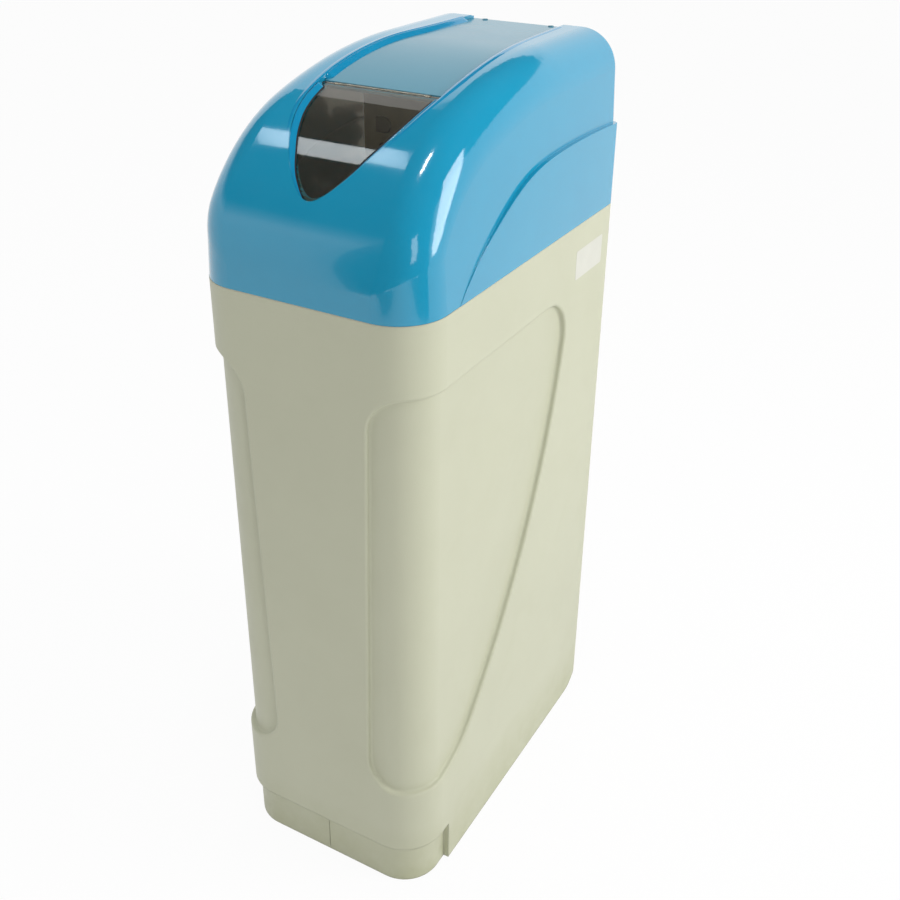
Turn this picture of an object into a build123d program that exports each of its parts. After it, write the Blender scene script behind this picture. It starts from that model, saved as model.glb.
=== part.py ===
from build123d import *
from math import acos, asin, atan, cos, degrees, hypot, pi, radians, sin, sqrt, tan
import os

# Cabinet water softener: a tall moulded cabinet with a curved hood, a resin
# vessel with its control valve at the rear and the salt chamber in front.
# Millimetres, +Z up, the front looks along -Y. The origin is the middle of
# the base, in the middle of the overall footprint.

# Cabinet shell
cabinet_width = 320.0
cabinet_depth = 540.0
seam_height = 880.0
front_corner_r = 62.0
rear_corner_r = 10.0
cabinet_wall = 5.0
cabinet_floor = 6.0
heel_r = 48.0
least_inner_r = 3.0

# Toe recess round the front of the base
plinth_height = 70.0
plinth_inset = 8.0
plinth_run = 82.0
plinth_edge_r = 6.5

# Sail-shaped recess on each side, measured from the front face and the floor
sail_depth = 8.0
sail_top = 787.0
sail_bottom = 177.0
sail_top_side = 70.0
sail_bottom_side = 83.0
sail_front_r = 48.0
sail_reach = 407.0
sail_toe_y = 150.0
sail_toe_rise = 52.0
sail_arc_r = 1020.0
sail_heel_r = 58.0
sail_toe_r = 140.0
sail_edge_r = 3.6

# Hood: its side profile is three tangent arcs and a level crown
nose_rise = 23.0
nose_r = 156.0
brow_r = 244.0
crown_r = 739.0
nose_turn = 51.7
brow_turn = 17.9
hood_wall = 4.0
hood_draft = 2.6
hood_set_in = 0.4
shoulder_r = 52.0

# Lower band of the hood, proud of the leaning side
band_start = 92.0
band_rise = 118.0
band_shelf = 4.0
band_reach = 11.0
band_outline_shares = [
    (0.096, 0.336), (0.20, 0.585), (0.37, 0.875), (0.625, 0.995), (0.86, 0.99), (1.0, 0.965)
]

# Locating lip of the hood inside the cabinet rim
lip_drop = 10.0
lip_shelf = 6.0
lip_thick = 3.0
lip_clear = 0.5

# Channel in the crown that holds the salt lid and the top panel
channel_half = 85.0
channel_tip = 30.0
channel_shares = [
    (0.376, 0.031), (0.63, 0.082), (0.80, 0.136), (0.924, 0.206), (0.99, 0.315), (1.0, 0.44),
    (0.965, 0.59), (0.90, 0.73), (0.865, 0.86), (0.845, 1.0)
]
channel_wall = 4.0
ledge_width = 10.0
ledge_thick = 3.5
lid_recess = 5.0
lid_thick = 3.0
lid_clear = 0.8
lid_split = 188.0
bar_half = 7.0
rail_edge_r = 1.6

# Lid hinge
hinge_barrel_r = 2.6
hinge_pin_r = 1.2
hinge_barrel_half = 66.0
hinge_run_clear = 0.06
hinge_gap = 0.6
hinge_pin_bite = 3.0
hinge_pin_in_lid = 26.0
panel_screw_share = 0.6
panel_rear_gap = 1.0

# Pipe notch at the rear of the hood
notch_half = 95.0
notch_height = 105.0
notch_corner_r = 12.0

# Resin vessel and its foot
vessel_r = 128.5
vessel_wall = 4.0
vessel_height = 890.0
vessel_from_rear = 145.0
dome_rise = 72.0
neck_r = 40.0
neck_bore_r = 31.5
neck_rise = 20.0
foot_r = 96.0
foot_height = 58.0
foot_wall = 5.0
foot_lift = 9.0
resin_fill = 560.0
bed_clear = 0.4
riser_r = 13.35
riser_wall = 2.6
basket_r = 24.0
basket_height = 62.0
basket_slots = 10
basket_slot = 2.0
basket_web = 3.0
basket_rim = 6.0
upper_basket_r = 27.0
upper_basket_height = 34.0
riser_head = 8.0
full_turn = 360.0
quarter_turn = 90.0
half_share = 0.5

# Control valve
flange_r = 47.0
flange_thick = 15.0
thread_r = 31.2
thread_drop = 18.0
valve_axis_rise = 62.0
barrel_r = 36.0
groove_r = 35.5
groove_half = 2.0
groove_depth = 3.1
oring_r = 1.5
barrel_rear_from_rear = 88.0
column_r = 38.0
port_gap = 76.0
port_rise = 29.0
port_r = 16.0
port_bore_r = 11.0
port_end_from_rear = 66.0
bore_r = 24.0
bore_end_from_rear = 98.0
spool_r = 19.9
spool_length = 62.0
spool_start_from_rear = 192.0
spool_lands = 4
spool_land = 6.0
spool_waist_share = 0.7
spool_notch_r = 6.0
seal_first = 14.0
seal_bore_r = 19.95
seal_thick = 4.0
seal_pitch = 20.0
seal_count = 4
rod_r = 4.5
rod_tip_from_rear = 233.0
rod_clear = 0.06

# Drive train on the back plate
gear_module = 1.25
drive_teeth = 40
idler_teeth = 30
pinion_teeth = 12
gear_face = 7.0
gear_front_from_rear = 220.0
gear_backlash = 0.22
pressure_angle = 20.0
addendum_share = 0.8
dedendum_share = 1.15
flank_steps = 3
gear_windows = 5
gear_window_r = 4.0
gear_window_at = 16.5
hub_r = 10.0
idler_pin_r = 3.0
motor_shaft_r = 1.5
running_clear = 0.05
motor_r = 15.0
motor_length = 32.0
gear_turn = 160.0
plate_front_from_rear = 208.0
plate_thick = 3.5

# Control housing in front of the back plate
head_half = 98.0
head_bottom_rise = 8.0
head_top_rise = 176.0
head_front_from_rear = 246.0
head_wall = 2.6
head_corner_r = 14.0
boss_r = 4.5
post_r = 3.0
display_w = 70.0
display_h = 32.0
display_x = 20.0
display_rise = 118.0
display_thick = 1.6
button_row_rise = 82.0
button_pitch = 24.0
button_corner_r = 2.0
button_edge = 0.5
button_travel = 1.2
button_gap = 0.35
button_proud = 1.6
button_w = 15.0
button_h = 8.0
big_button_w = 23.0
big_button_h = 21.0
big_button_x = -68.0
big_button_rise = 116.0
round_button_x = -70.0
round_button_rise = 87.0
round_button_r = 5.5

# Circuit board behind the face
board_gap = 4.0
board_thick = 1.6
board_edge = 22.0
board_lift = 60.0
board_chips = 3
board_chip_share = 0.6
chip_half = 7.0
chip_rise = 2.0

# Low-voltage socket on the back plate
socket_edge = 18.0
socket_side = 34.0
socket_r = 6.0
socket_bore_r = 2.8
socket_length = 12.0
socket_depth = 9.0

# Bypass valve behind the control valve
bypass_from_rear = 46.0
bypass_barrel_r = 19.0
bypass_low = 20.0
bypass_high = 24.0
rotor_r = 14.0
rotor_clear = 0.08
rotor_floor = 4.0
lever_length = 40.0
lever_width = 13.0
lever_thick = 9.0
union_r = 22.0
union_width = 12.0
tail_start_from_rear = 27.0
tail_end_from_rear = 6.0
tail_nut_back = 7.0
tail_collar = 4.0
tail_thread_r = 13.2
tail_bore_r = 9.0

# Meter wheel in the outlet port
wheel_r = 9.6
wheel_width = 10.0
wheel_blades = 6
wheel_blade = 1.2
wheel_hub_r = 2.6
wheel_pin_r = 1.0
cage_back = 10.0
cage_width = 2.0
cage_rim = 1.2
cage_gap = 1.0

# Drain and brine fittings on the valve
boss_reach = 46.0
fitting_bite = 6.0
drain_from_rear = 120.0
drain_length = 36.0
drain_boss_r = 12.0
barb_shoulder = 3.0
drain_r = 9.0
barb_r = 6.5
barb_bore_r = 4.5
barb_length = 22.0
brine_from_rear = 172.0
injector_lift = 10.0
injector_boss_r = 12.0
injector_r = 13.0
injector_reach = 16.0
cap_ribs = 8
cap_rib = 2.4
brine_rise = 36.0
brine_boss_r = 9.0
brine_nut_length = 11.0
brine_nut_r = 10.5
brine_bend_r = 30.0

# Brine well in the salt chamber
well_side = 60.0
well_from_rear = 292.0
well_r = 38.0
well_wall = 3.0
well_height = 800.0
well_foot_slots = 6
well_slot_w = 5.0
well_slot_h = 40.0
cap_height = 14.0
cap_thick = 3.0
cap_clear = 0.4
tube_offset = 8.0
pickup_r = 12.0
pickup_height = 60.0
pickup_lift = 8.0
guide_half = 4.0
guide_thick = 3.0
brine_tube_r = 4.8
brine_tube_bore_r = 3.2
float_r = 14.0
float_height = 40.0
float_edge = 2.0
float_rod_r = 2.0
float_rod_x = 22.0
float_rod_over = 8.0
float_low = 190.0
float_clear = 0.2
rod_lift = 4.0

# Salt grid
grid_height = 96.0
grid_thick = 4.0
grid_slot = 6.0
grid_pitch = 22.0
grid_clear = 4.0
grid_leg = 14.0
grid_rear = 36.0

# Overflow bush in the rear wall
overflow_side = 48.0
overflow_z = 720.0
overflow_r = 8.0
overflow_body_r = 13.0
overflow_flange_r = 18.0
overflow_flange = 2.5
overflow_length = 26.0
overflow_nut_r = 19.0
overflow_nut_width = 7.0

# Screws
screw_r = 1.9
screw_head_r = 3.8
screw_head = 2.4
screw_length = 9.0
screw_slot = 0.8
screw_sink = 1.4

over = 1.0
seat_gap = 0.3

front_y = -cabinet_depth / 2
rear_y = cabinet_depth / 2
half_w = cabinet_width / 2
vessel_y = rear_y - vessel_from_rear
barrel_rear = rear_y - barrel_rear_from_rear
port_end = rear_y - port_end_from_rear
bore_end = rear_y - bore_end_from_rear
spool_start = rear_y - spool_start_from_rear
rod_tip = rear_y - rod_tip_from_rear
gear_front = rear_y - gear_front_from_rear
plate_front = rear_y - plate_front_from_rear
head_front = rear_y - head_front_from_rear
bypass_y = rear_y - bypass_from_rear
tail_start = rear_y - tail_start_from_rear
tail_end = rear_y - tail_end_from_rear
drain_y = rear_y - drain_from_rear
brine_y = rear_y - brine_from_rear
well_y = rear_y - well_from_rear
well_x = half_w - well_side
overflow_x = half_w - overflow_side
sail_edge_top_x = half_w - sail_top_side
sail_edge_bottom_x = half_w - sail_bottom_side


def from_front(distance):
    return front_y + distance


def slab(x0, x1, y0, y1, z0, z1):
    """A box between two corners."""
    return Pos((x0 + x1) / 2, (y0 + y1) / 2, (z0 + z1) / 2) * Box(x1 - x0, y1 - y0, z1 - z0)


def rod_z(x, y, z0, z1, r):
    """An upright cylinder."""
    return Pos(x, y, (z0 + z1) / 2) * Cylinder(r, z1 - z0)


def rod_y(x, z, y0, y1, r):
    """A cylinder that runs front to back."""
    return Pos(x, (y0 + y1) / 2, z) * Rot(90, 0, 0) * Cylinder(r, y1 - y0)


def rod_x(y, z, x0, x1, r):
    """A cylinder that runs from side to side."""
    return Pos((x0 + x1) / 2, y, z) * Rot(0, 90, 0) * Cylinder(r, x1 - x0)


def side_plate(face, x0, x1):
    """Extrude an outline drawn in (y, z) between two x places."""
    return extrude(Pos(x0, 0, 0) * (Plane.YZ * face), amount=x1 - x0, dir=(1, 0, 0))


def front_plate(face, y0, y1):
    """Extrude an outline drawn in (x, z) between two y places."""
    return extrude(Pos(0, y0, 0) * (Plane.XZ * face), amount=y1 - y0, dir=(0, 1, 0))


def plan_prism(inset, z0, z1):
    """The cabinet's footprint, drawn in by an inset, between two heights."""
    plan = Rectangle(cabinet_width - 2 * inset, cabinet_depth - 2 * inset)
    corners = plan.vertices().group_by(Axis.Y)
    plan = fillet(corners[0], front_corner_r - inset)
    rear = plan.vertices().group_by(Axis.Y)[-1]
    plan = fillet(rear, max(rear_corner_r - inset, least_inner_r))
    return extrude(Pos(0, 0, z0) * plan, amount=z1 - z0)


def sail_side_face(grow):
    """Side outline of the sail recess in (y, z), grown outwards by a wall."""
    top = sail_top + grow
    bottom = sail_bottom - grow
    heel = (from_front(sail_reach) + grow, top)
    toe = (from_front(sail_toe_y) + grow, sail_bottom + sail_toe_rise)
    edge = RadiusArc(heel, toe, sail_arc_r)
    if edge @ 0.5 and (edge @ 0.5).Y < (heel[0] + toe[0]) / 2:
        edge = RadiusArc(heel, toe, -sail_arc_r)
    slope = edge % 1
    run = (toe[1] - bottom) / -slope.Y
    foot = (toe[0] + slope.X * run, bottom)
    ahead = front_y - over - front_corner_r
    outline = [
        edge,
        Line(toe, foot),
        Line(foot, (ahead, bottom)),
        Line((ahead, bottom), (ahead, top)),
        Line((ahead, top), heel),
    ]
    face = make_face(outline)
    for corner, radius in ((heel, sail_heel_r + grow), (foot, sail_toe_r)):
        near = face.vertices().sort_by_distance(Vector(corner[0], corner[1], 0))[0]
        face = fillet(near, radius)
    return face


def sail_front_face(grow, side):
    """Front outline of the sail recess in (x, z) on one side."""
    top = sail_top + grow
    bottom = sail_bottom - grow
    out = side * (half_w + over)
    high = (side * (sail_edge_top_x - grow), top)
    low = (side * (sail_edge_bottom_x - grow), bottom)
    face = make_face(Polyline(high, (out, top), (out, bottom), low, close=True))
    for corner in (high, low):
        near = face.vertices().sort_by_distance(Vector(corner[0], corner[1], 0))[0]
        face = fillet(near, sail_front_r + grow)
    return face


def sail_tool(inset, side):
    """What the sail recess takes from a cabinet form drawn in by an inset."""
    across = side_plate(sail_side_face(inset), -half_w - over, half_w + over)
    along = front_plate(sail_front_face(inset, side), front_y - over, rear_y)
    return across & along


def cabinet_form(inset, floor):
    """The cabinet as a solid, drawn in by an inset, with its recesses."""
    top = seam_height + (over if inset else 0)
    form = plan_prism(inset, floor, top)
    core = plan_prism(inset + sail_depth, floor - over, top + over)
    for side in (-1, 1):
        form -= sail_tool(inset, side) - core
    toe_core = plan_prism(inset + plinth_inset, floor - over, plinth_height + inset + over)
    toe = slab(-half_w - over, half_w + over, front_y - over, from_front(plinth_run + inset),
               floor - over, plinth_height + inset)
    form -= toe - toe_core
    heel_edge = (rear_y - inset, floor)
    heel = heel_r - inset
    block = slab(-half_w - over, half_w + over, heel_edge[0] - heel, heel_edge[0] + over,
                 heel_edge[1] - over, heel_edge[1] + heel)
    form -= block - rod_x(heel_edge[0] - heel, heel_edge[1] + heel, -half_w - 2 * over,
                          half_w + 2 * over, heel)
    return form


def sail_edges(form):
    """The edges of the sail recesses, at the mouth and at the floor."""
    picked = []
    low = sail_bottom - over
    for edge in form.edges():
        box = edge.bounding_box()
        if box.min.Z < low or box.max.Z > sail_top + over:
            continue
        middle = edge.position_at(0.5)
        if box.max.Z - box.min.Z > over or middle.Y < rear_y - rear_corner_r - over:
            picked.append(edge)
    return picked


def cabinet():
    outer = cabinet_form(0, 0)
    outer = fillet(sail_edges(outer), sail_edge_r)
    inner = cabinet_form(cabinet_wall, cabinet_floor)
    shell = outer - inner
    bush = rod_y(overflow_x, overflow_z, rear_y - cabinet_wall - over, rear_y + over,
                 overflow_body_r)
    sink = rod_y(overflow_x, overflow_z, rear_y - overflow_flange, rear_y + over,
                 overflow_flange_r + seat_gap)
    return shell - bush - sink


def crown_arcs(inset):
    """Centres, radii and end angles of the three arcs of the hood's profile."""
    lean = radians(hood_draft)
    z0 = seam_height + nose_rise
    first = (from_front((nose_r + nose_rise * sin(lean)) / cos(lean)), z0)
    a1 = radians(90 + nose_turn)
    a2 = radians(90 + brow_turn)
    second = (first[0] + (nose_r - brow_r) * cos(a1), first[1] + (nose_r - brow_r) * sin(a1))
    third = (second[0] + (brow_r - crown_r) * cos(a2), second[1] + (brow_r - crown_r) * sin(a2))
    return [
        (first, nose_r - inset, pi - lean, a1),
        (second, brow_r - inset, a1, a2),
        (third, crown_r - inset, a2, pi / 2),
    ]


def on_arc(arc, angle):
    centre, radius = arc[0], arc[1]
    return (centre[0] + radius * cos(angle), centre[1] + radius * sin(angle))


def crown_height():
    arc = crown_arcs(0)[2]
    return arc[0][1] + arc[1]


def crown_at(y, inset):
    """The profile's point at a y place behind the brow."""
    arc = crown_arcs(inset)[2]
    if y >= arc[0][0]:
        return (y, arc[0][1] + arc[1])
    return (y, arc[0][1] + sqrt(arc[1] ** 2 - (y - arc[0][0]) ** 2))


def crown_prism(inset, half, z0):
    """Everything under the hood's profile, drawn in by an inset, within a half width."""
    arcs = crown_arcs(inset)
    lean = radians(hood_draft)
    start = (from_front(inset / cos(lean) + (z0 - seam_height) * tan(lean)), z0)
    edges = [Line(start, on_arc(arcs[0], arcs[0][2]))]
    for arc in arcs:
        edges.append(ThreePointArc(on_arc(arc, arc[2]), on_arc(arc, (arc[2] + arc[3]) / 2),
                                   on_arc(arc, arc[3])))
    top = on_arc(arcs[2], pi / 2)
    rear = rear_y + over
    edges.append(Line(top, (rear, top[1])))
    edges.append(Line((rear, top[1]), (rear, z0)))
    edges.append(Line((rear, z0), start))
    return side_plate(make_face(edges), -half, half)


def hood_form(inset):
    """The hood as a solid: a leaning prism under the crown with round shoulders."""
    set_in = inset + hood_set_in
    rear = rear_y - set_in
    depth = rear - front_y - inset + 2 * rear_corner_r
    plan = Pos(0, front_y + inset + depth / 2) * Rectangle(2 * (half_w - set_in), depth)
    plan = fillet(plan.vertices().group_by(Axis.Y)[0], front_corner_r - inset)
    tall = extrude(Pos(0, 0, seam_height) * plan, amount=crown_height() + over - seam_height,
                   taper=hood_draft)
    form = tall & crown_prism(inset, half_w + over, seam_height - over)
    shoulders = []
    for edge in form.edges():
        box = edge.bounding_box()
        deep = box.max.Y - box.min.Y > over
        if deep and box.min.Z > seam_height + over and edge.center().Y < rear:
            shoulders.append(edge)
    form = fillet(shoulders, shoulder_r - inset)
    return form & slab(-half_w - over, half_w + over, front_y - over, rear, seam_height,
                       crown_height() + over)


def channel_prism(grow, y0, y1):
    """The channel's outline seen from above, grown or drawn in, as a tall prism."""
    tip = from_front(channel_tip) - grow
    run = rear_y + over - tip
    half = channel_half + grow
    right = [(half * share_x, tip + run * share_y) for share_x, share_y in channel_shares]
    left = [(-x, y) for x, y in reversed(right)]
    points = left + [(0, tip)] + right
    face = make_face([Spline(points), Line(points[-1], points[0])])
    tall = extrude(Pos(0, 0, seam_height) * face, amount=crown_height() - seam_height + over)
    return tall & slab(-half - over, half + over, y0, y1, seam_height - over,
                       crown_height() + 2 * over)


def crown_layer(top, bottom):
    """The layer under the profile between two depths, as wide as the hood."""
    return crown_prism(top, half_w, seam_height - over) - crown_prism(
        bottom, half_w + over, seam_height - 2 * over)


def hinge_place():
    """The lid's hinge axis in (y, z), at the middle of the lid's thickness."""
    return crown_at(from_front(lid_split) - hinge_barrel_r - hinge_gap,
                    lid_recess + lid_thick / 2)


def band_face(drop):
    """The face under the band's rising edge in (y, z), lowered by a drop."""
    run = rear_y + over - from_front(band_start)
    ground = seam_height - drop - over
    points = [(from_front(band_start), seam_height - drop)]
    for share_y, share_z in band_outline_shares:
        points.append((from_front(band_start) + run * share_y,
                       seam_height - drop + band_rise * share_z))
    rear = (points[-1][0], ground)
    front = (points[0][0], ground)
    return make_face([Spline(points), Line(points[-1], rear), Line(rear, front),
                      Line(front, points[0])])


def hood_band():
    """The proud lower band: an upright wall, and a shelf under its rising edge."""
    top = seam_height + band_rise + over
    ring = plan_prism(0, seam_height, top) - plan_prism(
        hood_wall, seam_height - over, top + over)
    band = ring & side_plate(band_face(0), -half_w - over, half_w + over)
    edge = band_face(0) - band_face(band_shelf)
    plan = plan_prism(0, seam_height, top)
    for side in (-1, 1):
        near, far = sorted((side * (half_w - band_reach), side * (half_w + over)))
        band += side_plate(edge, near, far) & plan
    return band


def hood():
    outer = hood_form(0)
    rim = []
    for edge in outer.edges().group_by(Axis.Y)[-1]:
        if edge.center().Z > seam_height + over:
            rim.append(edge)
    body = fillet(rim, rear_corner_r) - hood_form(hood_wall)
    body -= side_plate(band_face(band_shelf / 2), -half_w - over, half_w + over)
    seat = lid_recess + lid_thick
    body += channel_prism(channel_wall, front_y, rear_y) & crown_layer(
        hood_wall / 2, seat + ledge_thick)
    body -= channel_prism(0, front_y - over, rear_y + over) - crown_prism(
        seat, half_w, seam_height - over)
    split = from_front(lid_split)
    body -= channel_prism(-ledge_width, front_y, split - bar_half)
    body -= channel_prism(-ledge_width, split + bar_half, rear_y - ledge_width)
    hinge = hinge_place()
    body -= rod_x(hinge[0], hinge[1], -hinge_barrel_half - over, hinge_barrel_half + over,
                  hinge_barrel_r + hinge_gap)
    reach = channel_half + hinge_pin_bite
    body -= rod_x(hinge[0], hinge[1], -reach, reach, hinge_pin_r + hinge_run_clear)
    for x, y in panel_screw_places():
        low = crown_at(y, lid_recess + screw_length)[1] - over
        body -= rod_z(x, y, low, low + screw_length, screw_r + running_clear)
    body += hood_band()
    body += hood_lip()
    body -= rear_notch()
    return body


def hood_lip():
    """The lip that drops inside the cabinet's rim, with the shelf that joins it."""
    out = cabinet_wall + lip_clear
    shelf = plan_prism(hood_wall / 2, seam_height, seam_height + lip_shelf) - plan_prism(
        out + lip_thick, seam_height - over, seam_height + lip_shelf + over)
    drop = plan_prism(out, seam_height - lip_drop, seam_height + over) - plan_prism(
        out + lip_thick, seam_height - lip_drop - over, seam_height + 2 * over)
    return shelf + drop


def rear_notch():
    """The opening in the hood's rear wall that the pipe tails face."""
    low = seam_height - lip_drop - over
    high = seam_height + notch_height
    outline = Pos(0, (low + high) / 2) * Rectangle(2 * notch_half, high - low)
    outline = fillet(outline.vertices().group_by(Axis.Y)[-1], notch_corner_r)
    return front_plate(outline, rear_y - 4 * hood_wall, rear_y + over)


def lid_outline(y0, y1):
    """The outline that the lid and the panel share, with their running gap."""
    return channel_prism(-lid_clear, y0, y1)


def salt_lid():
    hinge = hinge_place()
    layer = crown_layer(lid_recess, lid_recess + lid_thick)
    plate = lid_outline(front_y, hinge[0]) & layer
    barrel = rod_x(hinge[0], hinge[1], -hinge_barrel_half, hinge_barrel_half, hinge_barrel_r)
    bore = rod_x(hinge[0], hinge[1], -half_w, half_w, hinge_pin_r + hinge_run_clear)
    return plate + barrel - bore


def lid_hinge_pins():
    """Two stub pins from the channel's walls into the lid's edge."""
    hinge = hinge_place()
    start = channel_half - hinge_pin_in_lid
    end = channel_half + hinge_pin_bite - hinge_run_clear
    pins = [rod_x(hinge[0], hinge[1], start, end, hinge_pin_r),
            rod_x(hinge[0], hinge[1], -end, -start, hinge_pin_r)]
    return Compound(children=[p.solid() for p in pins])


def panel_screw_places():
    y = rear_y - ledge_width / 2
    spread = channel_half * panel_screw_share
    return [(-spread, y), (spread, y)]


def top_panel():
    hinge = hinge_place()
    start = hinge[0] + hinge_barrel_r + hinge_gap
    panel = lid_outline(start, rear_y - panel_rear_gap) & crown_layer(
        lid_recess, lid_recess + lid_thick)
    for x, y in panel_screw_places():
        top = crown_at(y, lid_recess)[1]
        panel -= rod_z(x, y, top - screw_sink, top + over, screw_head_r + running_clear)
        panel -= rod_z(x, y, top - 2 * lid_thick, top + over, screw_r + running_clear)
    return panel


def screw(x, y, top):
    """A countersunk pan-head screw, head uppermost, with a slot."""
    body = rod_z(x, y, top - screw_head, top, screw_head_r)
    body += rod_z(x, y, top - screw_length, top, screw_r)
    return body - slab(x - screw_head_r, x + screw_head_r, y - screw_slot / 2,
                       y + screw_slot / 2, top - screw_slot, top + over)


def panel_screws():
    places = panel_screw_places()
    top = crown_at(places[0][1], lid_recess)[1] - screw_sink + screw_head
    return Compound(children=[screw(x, y, top).solid() for x, y in places])


def turned(edges, x, y):
    """A body of revolution about an upright axis, from an outline in (r, z)."""
    return Pos(x, y, 0) * revolve(Plane.XZ * make_face(edges), Axis.Z)


vessel_low = cabinet_floor + foot_lift
vessel_top = cabinet_floor + vessel_height
shell_low = vessel_low + dome_rise
shell_high = vessel_top - neck_rise - dome_rise


def dome_arc(centre_z, radius, rise, start, size):
    """Part of an ellipse about the vessel's axis, in (r, z)."""
    return EllipticalCenterArc((0, centre_z), radius, rise, start, arc_size=size)


def vessel_outline(inset, neck, top):
    """Half section of the vessel, drawn in by a wall."""
    radius = vessel_r - inset
    rise = dome_rise - inset
    lower = dome_arc(shell_low, radius, rise, -quarter_turn, quarter_turn)
    upper = dome_arc(shell_high, radius, rise, 0, degrees(acos(neck / radius)))
    pole = (0, shell_low - rise)
    mouth = upper @ 1
    return [
        lower,
        Line((radius, shell_low), (radius, shell_high)),
        upper,
        Line(mouth, (neck, top)),
        Line((neck, top), (0, top)),
        Line((0, top), pole),
    ]


def resin_vessel():
    outer = turned(vessel_outline(0, neck_r, vessel_top), 0, vessel_y)
    inner = turned(vessel_outline(vessel_wall, neck_bore_r, vessel_top + over), 0, vessel_y)
    return outer - inner


def vessel_foot():
    """The boot that the lower dome stands in."""
    ring = rod_z(0, vessel_y, cabinet_floor, cabinet_floor + foot_height, foot_r)
    ring -= rod_z(0, vessel_y, cabinet_floor - over, cabinet_floor + foot_height + over,
                  foot_r - 3 * foot_wall)
    hollow = rod_z(0, vessel_y, cabinet_floor - over, cabinet_floor + foot_height / 2,
                   foot_r - foot_wall)
    ring -= hollow
    ring -= turned(vessel_outline(-seat_gap, neck_r, vessel_top), 0, vessel_y)
    return ring


def basket_low():
    radius = vessel_r - vessel_wall
    rise = dome_rise - vessel_wall
    drop = rise * sqrt(1 - (basket_r / radius) ** 2)
    return shell_low - drop + seat_gap


def resin_bed():
    """The settled resin, with room for the riser and the lower basket."""
    radius = vessel_r - vessel_wall - bed_clear
    rise = dome_rise - vessel_wall - bed_clear
    edge = riser_r + bed_clear
    basket_edge = basket_r + bed_clear
    start = -degrees(acos(basket_edge / radius))
    lower = dome_arc(shell_low, radius, rise, start, -start)
    shoulder = basket_low() + basket_height + bed_clear
    foot = lower @ 0
    return turned([
        lower,
        Line((radius, shell_low), (radius, resin_fill)),
        Line((radius, resin_fill), (edge, resin_fill)),
        Line((edge, resin_fill), (edge, shoulder)),
        Line((edge, shoulder), (basket_edge, shoulder)),
        Line((basket_edge, shoulder), foot),
    ], 0, vessel_y)


def slotted_basket(z0, z1, radius, bore):
    """A strainer basket: a cup with upright slots round it."""
    basket = rod_z(0, vessel_y, z0, z1, radius)
    slots = []
    for k in range(basket_slots):
        turn = Pos(0, vessel_y, 0) * Rot(0, 0, k * full_turn / basket_slots)
        slots.append(turn * slab(bore + basket_web, radius + over, -basket_slot / 2,
                                 basket_slot / 2, z0 + basket_rim, z1 - basket_rim))
    return basket - slots


def lower_distributor():
    low = basket_low()
    high = low + basket_height
    basket = slotted_basket(low, high, basket_r, riser_r)
    socket = rod_z(0, vessel_y, high - basket_height / 2, high + over, riser_r + seat_gap)
    throat = rod_z(0, vessel_y, low + basket_rim, high, riser_r - riser_wall)
    return basket - socket - throat


def riser_tube():
    low = basket_low() + basket_height / 2 + seat_gap
    high = vessel_top + riser_head
    return rod_z(0, vessel_y, low, high, riser_r) - rod_z(
        0, vessel_y, low - over, high + over, riser_r - riser_wall)


def upper_distributor():
    """The cone strainer that hangs under the valve's pilot."""
    high = vessel_top - thread_drop
    low = high - upper_basket_height
    basket = slotted_basket(low, high, upper_basket_r, riser_r + basket_web)
    return basket - rod_z(0, vessel_y, low - over, high + over, riser_r + seat_gap)


def vessel_oring():
    middle = (groove_r, vessel_top + oring_r)
    return Pos(0, vessel_y, middle[1]) * Torus(groove_r, oring_r)


valve_axis = vessel_top + valve_axis_rise
port_z = vessel_top + port_rise
port_x = port_gap / 2
barrel_start = plate_front + plate_thick
injector_z = valve_axis + injector_lift
brine_z = vessel_top + brine_rise


def valve_body():
    flange_top = vessel_top + flange_thick
    body = rod_z(0, vessel_y, vessel_top, flange_top, flange_r)
    body += rod_z(0, vessel_y, flange_top, valve_axis, column_r)
    body += rod_z(0, vessel_y, vessel_top - thread_drop, vessel_top, thread_r)
    body += rod_y(0, valve_axis, barrel_start, barrel_rear, barrel_r)
    body += rod_x(drain_y, valve_axis, -boss_reach, 0, drain_boss_r)
    body += rod_x(brine_y, injector_z, 0, boss_reach, injector_boss_r)
    body += rod_x(brine_y, brine_z, 0, boss_reach, brine_boss_r)
    for side in (-1, 1):
        body += rod_y(side * port_x, port_z, vessel_y, port_end, port_r)
        body += Pos(side * port_x, vessel_y, port_z) * Sphere(port_r)
    groove = rod_z(0, vessel_y, vessel_top - over, vessel_top + groove_depth,
                   groove_r + groove_half)
    groove -= rod_z(0, vessel_y, vessel_top - 2 * over, vessel_top + 2 * groove_depth,
                    groove_r - groove_half)
    body -= groove
    body -= rod_z(0, vessel_y, vessel_top - thread_drop - over, vessel_top + riser_head + over,
                  riser_r + running_clear)
    body -= rod_y(0, valve_axis, barrel_start - over, bore_end, bore_r)
    for side in (-1, 1):
        body -= rod_y(side * port_x, port_z, vessel_y, port_end + over, port_bore_r)
    body -= rod_x(drain_y, valve_axis, -boss_reach - over, -boss_reach + fitting_bite,
                  barb_bore_r)
    body -= rod_x(brine_y, brine_z, boss_reach - fitting_bite, boss_reach + over,
                  brine_tube_r + running_clear)
    return body


def seal_stack():
    """Fixed rings in the valve's bore that the spool's lands turn in."""
    rings = []
    for k in range(seal_count):
        y = barrel_start + seal_first + k * seal_pitch
        ring = rod_y(0, valve_axis, y, y + seal_thick, bore_r - running_clear)
        rings.append((ring - rod_y(0, valve_axis, y - over, y + seal_thick + over,
                                   seal_bore_r)).solid())
    return Compound(children=rings)


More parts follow.
